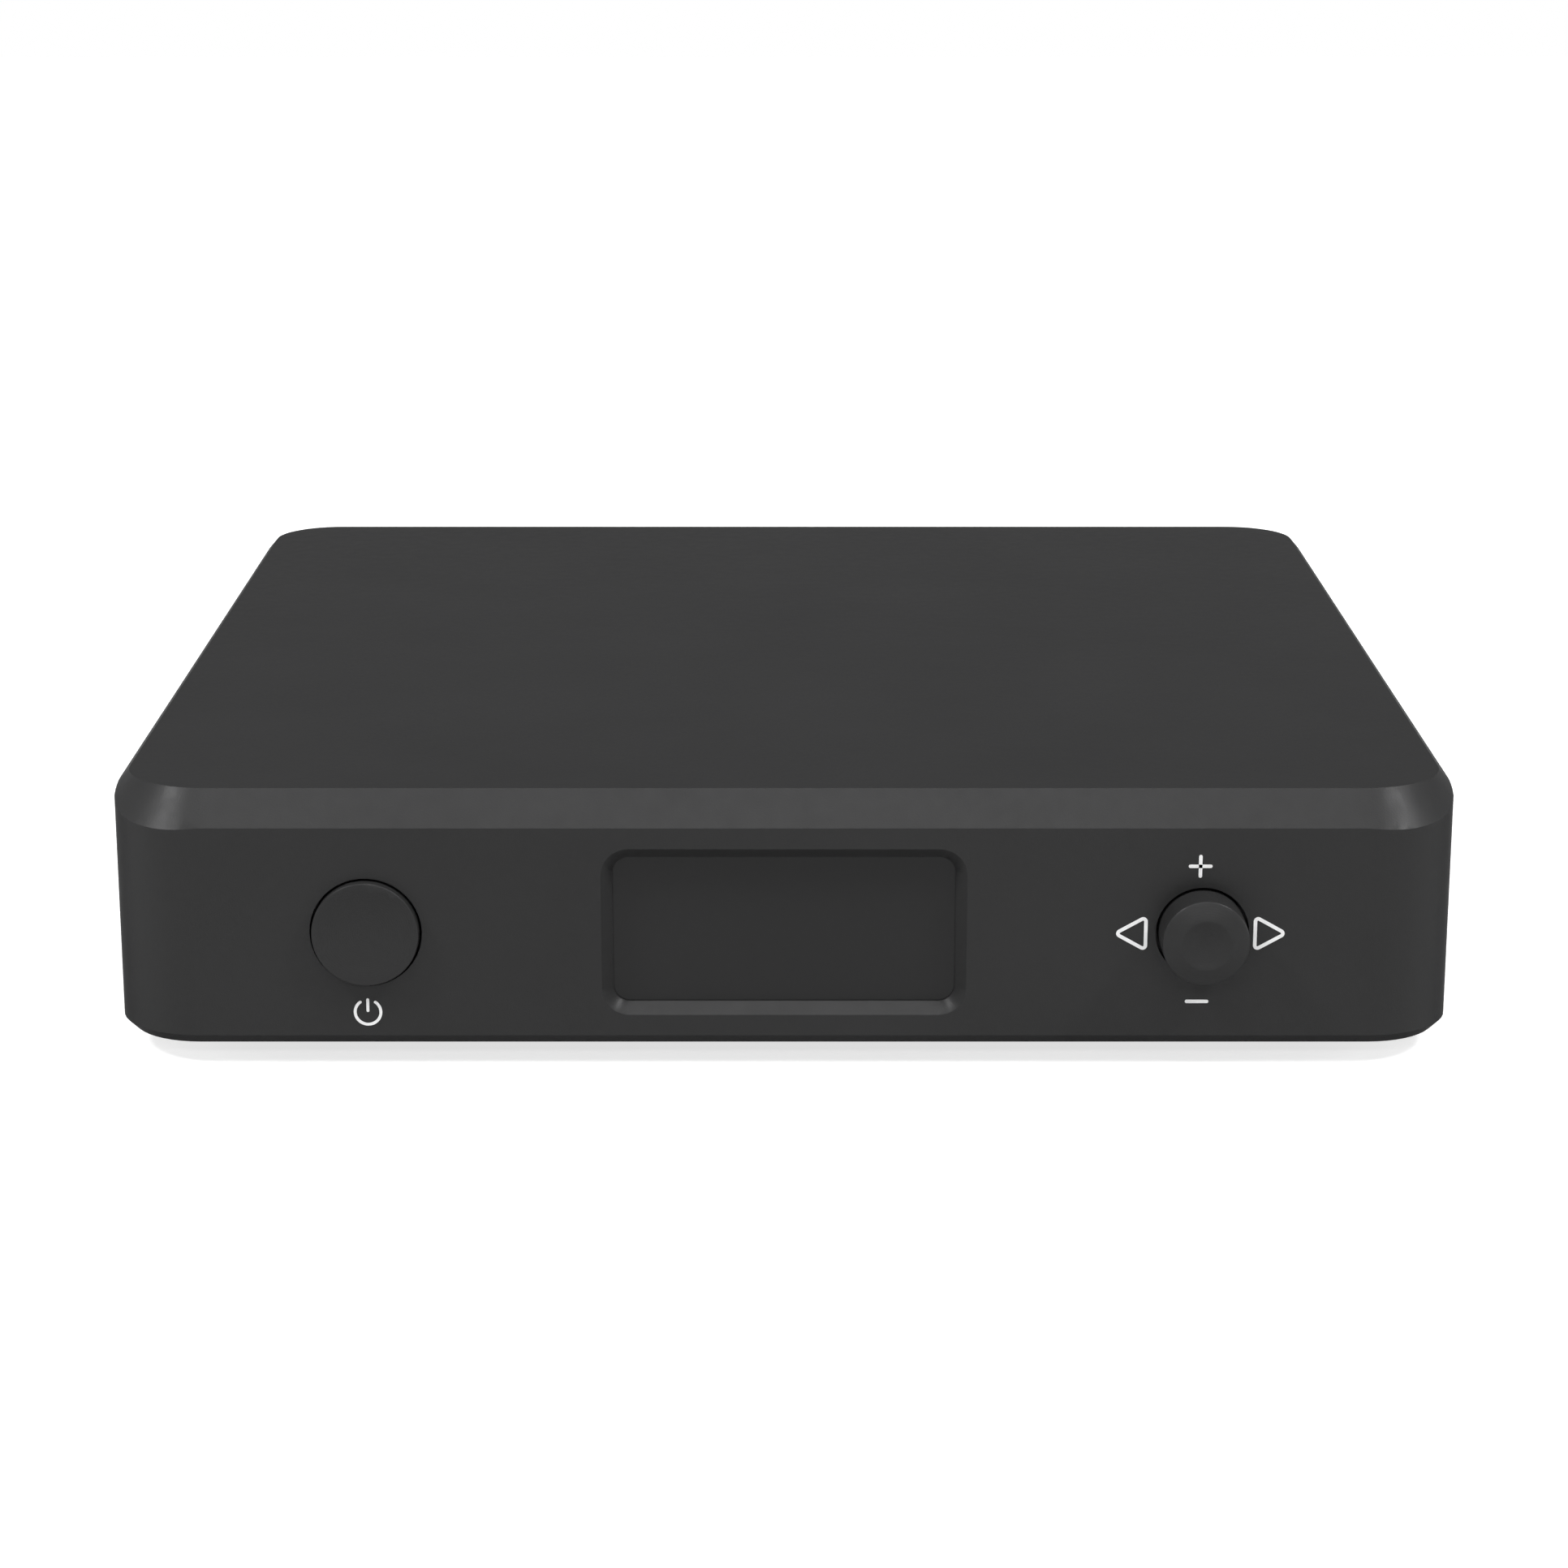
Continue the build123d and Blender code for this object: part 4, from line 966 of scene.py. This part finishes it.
class DAC_OT_stage(DacOperator):
    """Set the floor, the soft lights and the camera"""

    bl_idname = "dac.stage"
    bl_label = "Stage"

    def execute(self, context):
        stage = context.scene.dac_stage
        self.floor(stage)
        self.world(stage)
        self.lights(stage)
        self.camera(stage)
        context.scene.view_settings.view_transform = "Standard"
        return {"FINISHED"}

    def seen_directly(self, tree):
        """1 for rays from the camera, a mirror or glass, and 0 for the rest."""
        path = tree.nodes.new("ShaderNodeLightPath")
        seen = path.outputs["Is Camera Ray"]
        for kind in ("Is Glossy Ray", "Is Transmission Ray"):
            either = tree.nodes.new("ShaderNodeMath")
            either.operation = "MAXIMUM"
            tree.links.new(seen, either.inputs[0])
            tree.links.new(path.outputs[kind], either.inputs[1])
            seen = either.outputs[0]
        return seen

    def floor(self, stage):
        """Pale paper that looks evenly lit, with a soft shadow under the object."""
        mesh = bpy.data.meshes.new("floor")
        half = stage.floor_size / 2
        corners = [(-half, -half, 0), (half, -half, 0), (half, half, 0), (-half, half, 0)]
        mesh.from_pydata(corners, [], [(0, 1, 2, 3)])
        floor = linked("floor", mesh)
        paper = bpy.data.materials.new("floor_paper")
        paper.use_nodes = True
        tree = paper.node_tree
        shader = tree.nodes["Principled BSDF"]
        shader.inputs["Base Color"].default_value = (*stage.floor, 1)
        shader.inputs["Roughness"].default_value = 0.9
        shader.inputs["Specular IOR Level"].default_value = 0.0
        glow = tree.nodes.new("ShaderNodeEmission")
        tree.links.new(self.seen_directly(tree), glow.inputs["Strength"])
        glow.inputs["Color"].default_value = (*[stage.floor_glow] * 3, 1)
        both = tree.nodes.new("ShaderNodeAddShader")
        tree.links.new(shader.outputs[0], both.inputs[0])
        tree.links.new(glow.outputs[0], both.inputs[1])
        tree.links.new(both.outputs[0], tree.nodes["Material Output"].inputs["Surface"])
        mesh.materials.append(paper)

    def world(self, stage):
        """White where it is seen, and dimmer as a light."""
        world = bpy.data.worlds.new("studio")
        world.use_nodes = True
        tree = world.node_tree
        ambient = tree.nodes["Background"]
        ambient.inputs["Color"].default_value = (1, 1, 1, 1)
        ambient.inputs["Strength"].default_value = stage.ambient
        white = tree.nodes.new("ShaderNodeBackground")
        white.inputs["Color"].default_value = (1, 1, 1, 1)
        white.inputs["Strength"].default_value = 1.0
        mix = tree.nodes.new("ShaderNodeMixShader")
        tree.links.new(self.seen_directly(tree), mix.inputs["Fac"])
        tree.links.new(ambient.outputs[0], mix.inputs[1])
        tree.links.new(white.outputs[0], mix.inputs[2])
        tree.links.new(mix.outputs[0], tree.nodes["World Output"].inputs["Surface"])
        bpy.context.scene.world = world

    def lights(self, stage):
        """Area lights that face the middle of the case, with their places in metres."""
        target = Vector((0, (FRONT_Y + REAR_Y) / 2, TOP_Z / 2))
        rows = [
            ("soft_top", Vector((0, -0.55, 1.40)), 0.85, 0.55, stage.key),
            ("soft_front", Vector((0, -1.35, 0.80)), 1.5, 0.2, stage.front),
        ]
        for word, side in (("left", -1), ("right", 1)):
            rows.append(("soft_" + word, Vector((side * 0.90, -0.36, 1.14)), 0.2, 0.2, stage.side))
            rows.append(("low_" + word, Vector((side * 1.45, 0.15, 0.20)), 0.5, 0.4, stage.low))
            rows.append(("back_" + word, Vector((side * 1.10, 1.15, 0.28)), 0.5, 0.4, stage.back))
        for name, place, wide, high, power in rows:
            lamp = bpy.data.lights.new(name, "AREA")
            lamp.shape = "RECTANGLE"
            lamp.size = wide
            lamp.size_y = high
            lamp.energy = power
            light = linked(name, lamp)
            light.location = place
            light.rotation_euler = (target - place).to_track_quat("-Z", "Y").to_euler()

    def camera(self, stage):
        """The camera in front of the object, looking down on to it."""
        data = bpy.data.cameras.new("camera")
        data.sensor_width = 36.0
        data.lens = stage.lens
        data.clip_start = 0.01
        data.clip_end = 50.0
        camera = linked("camera", data)
        camera.location = (0, FRONT_Y - stage.distance, TOP_Z + stage.rise)
        camera.rotation_euler = (math.pi / 2 - stage.pitch, 0, 0)
        bpy.context.scene.camera = camera


OPERATORS = (
    DAC_OT_finishes,
    DAC_OT_case,
    DAC_OT_controls,
    DAC_OT_marks,
    DAC_OT_display,
    DAC_OT_sockets,
    DAC_OT_boards,
    DAC_OT_stage,
)


class DAC_PT_panel(bpy.types.Panel):
    """Lists the DAC's operators and settings"""

    bl_label = "Desktop DAC"
    bl_idname = "DAC_PT_panel"
    bl_space_type = "VIEW_3D"
    bl_region_type = "UI"
    bl_category = "DAC"

    def draw(self, context):
        for operator in OPERATORS:
            self.layout.operator(operator.bl_idname)
        for name, group in SETTINGS:
            box = self.layout.box()
            box.label(text=group.__doc__)
            settings = getattr(context.scene, name)
            for key in group.__annotations__:
                box.prop(settings, key)


def register():
    for name, group in SETTINGS:
        bpy.utils.register_class(group)
        setattr(bpy.types.Scene, name, bpy.props.PointerProperty(type=group))
    for operator in OPERATORS:
        bpy.utils.register_class(operator)
    bpy.utils.register_class(DAC_PT_panel)


def unregister():
    bpy.utils.unregister_class(DAC_PT_panel)
    for operator in reversed(OPERATORS):
        bpy.utils.unregister_class(operator)
    for name, group in reversed(SETTINGS):
        delattr(bpy.types.Scene, name)
        bpy.utils.unregister_class(group)


def main():
    register()
    bpy.ops.dac.finishes()
    bpy.ops.dac.case()
    bpy.ops.dac.controls()
    bpy.ops.dac.marks()
    bpy.ops.dac.display()
    bpy.ops.dac.sockets()
    bpy.ops.dac.boards()
    bpy.ops.dac.stage()


if __name__ == "__main__":
    main()
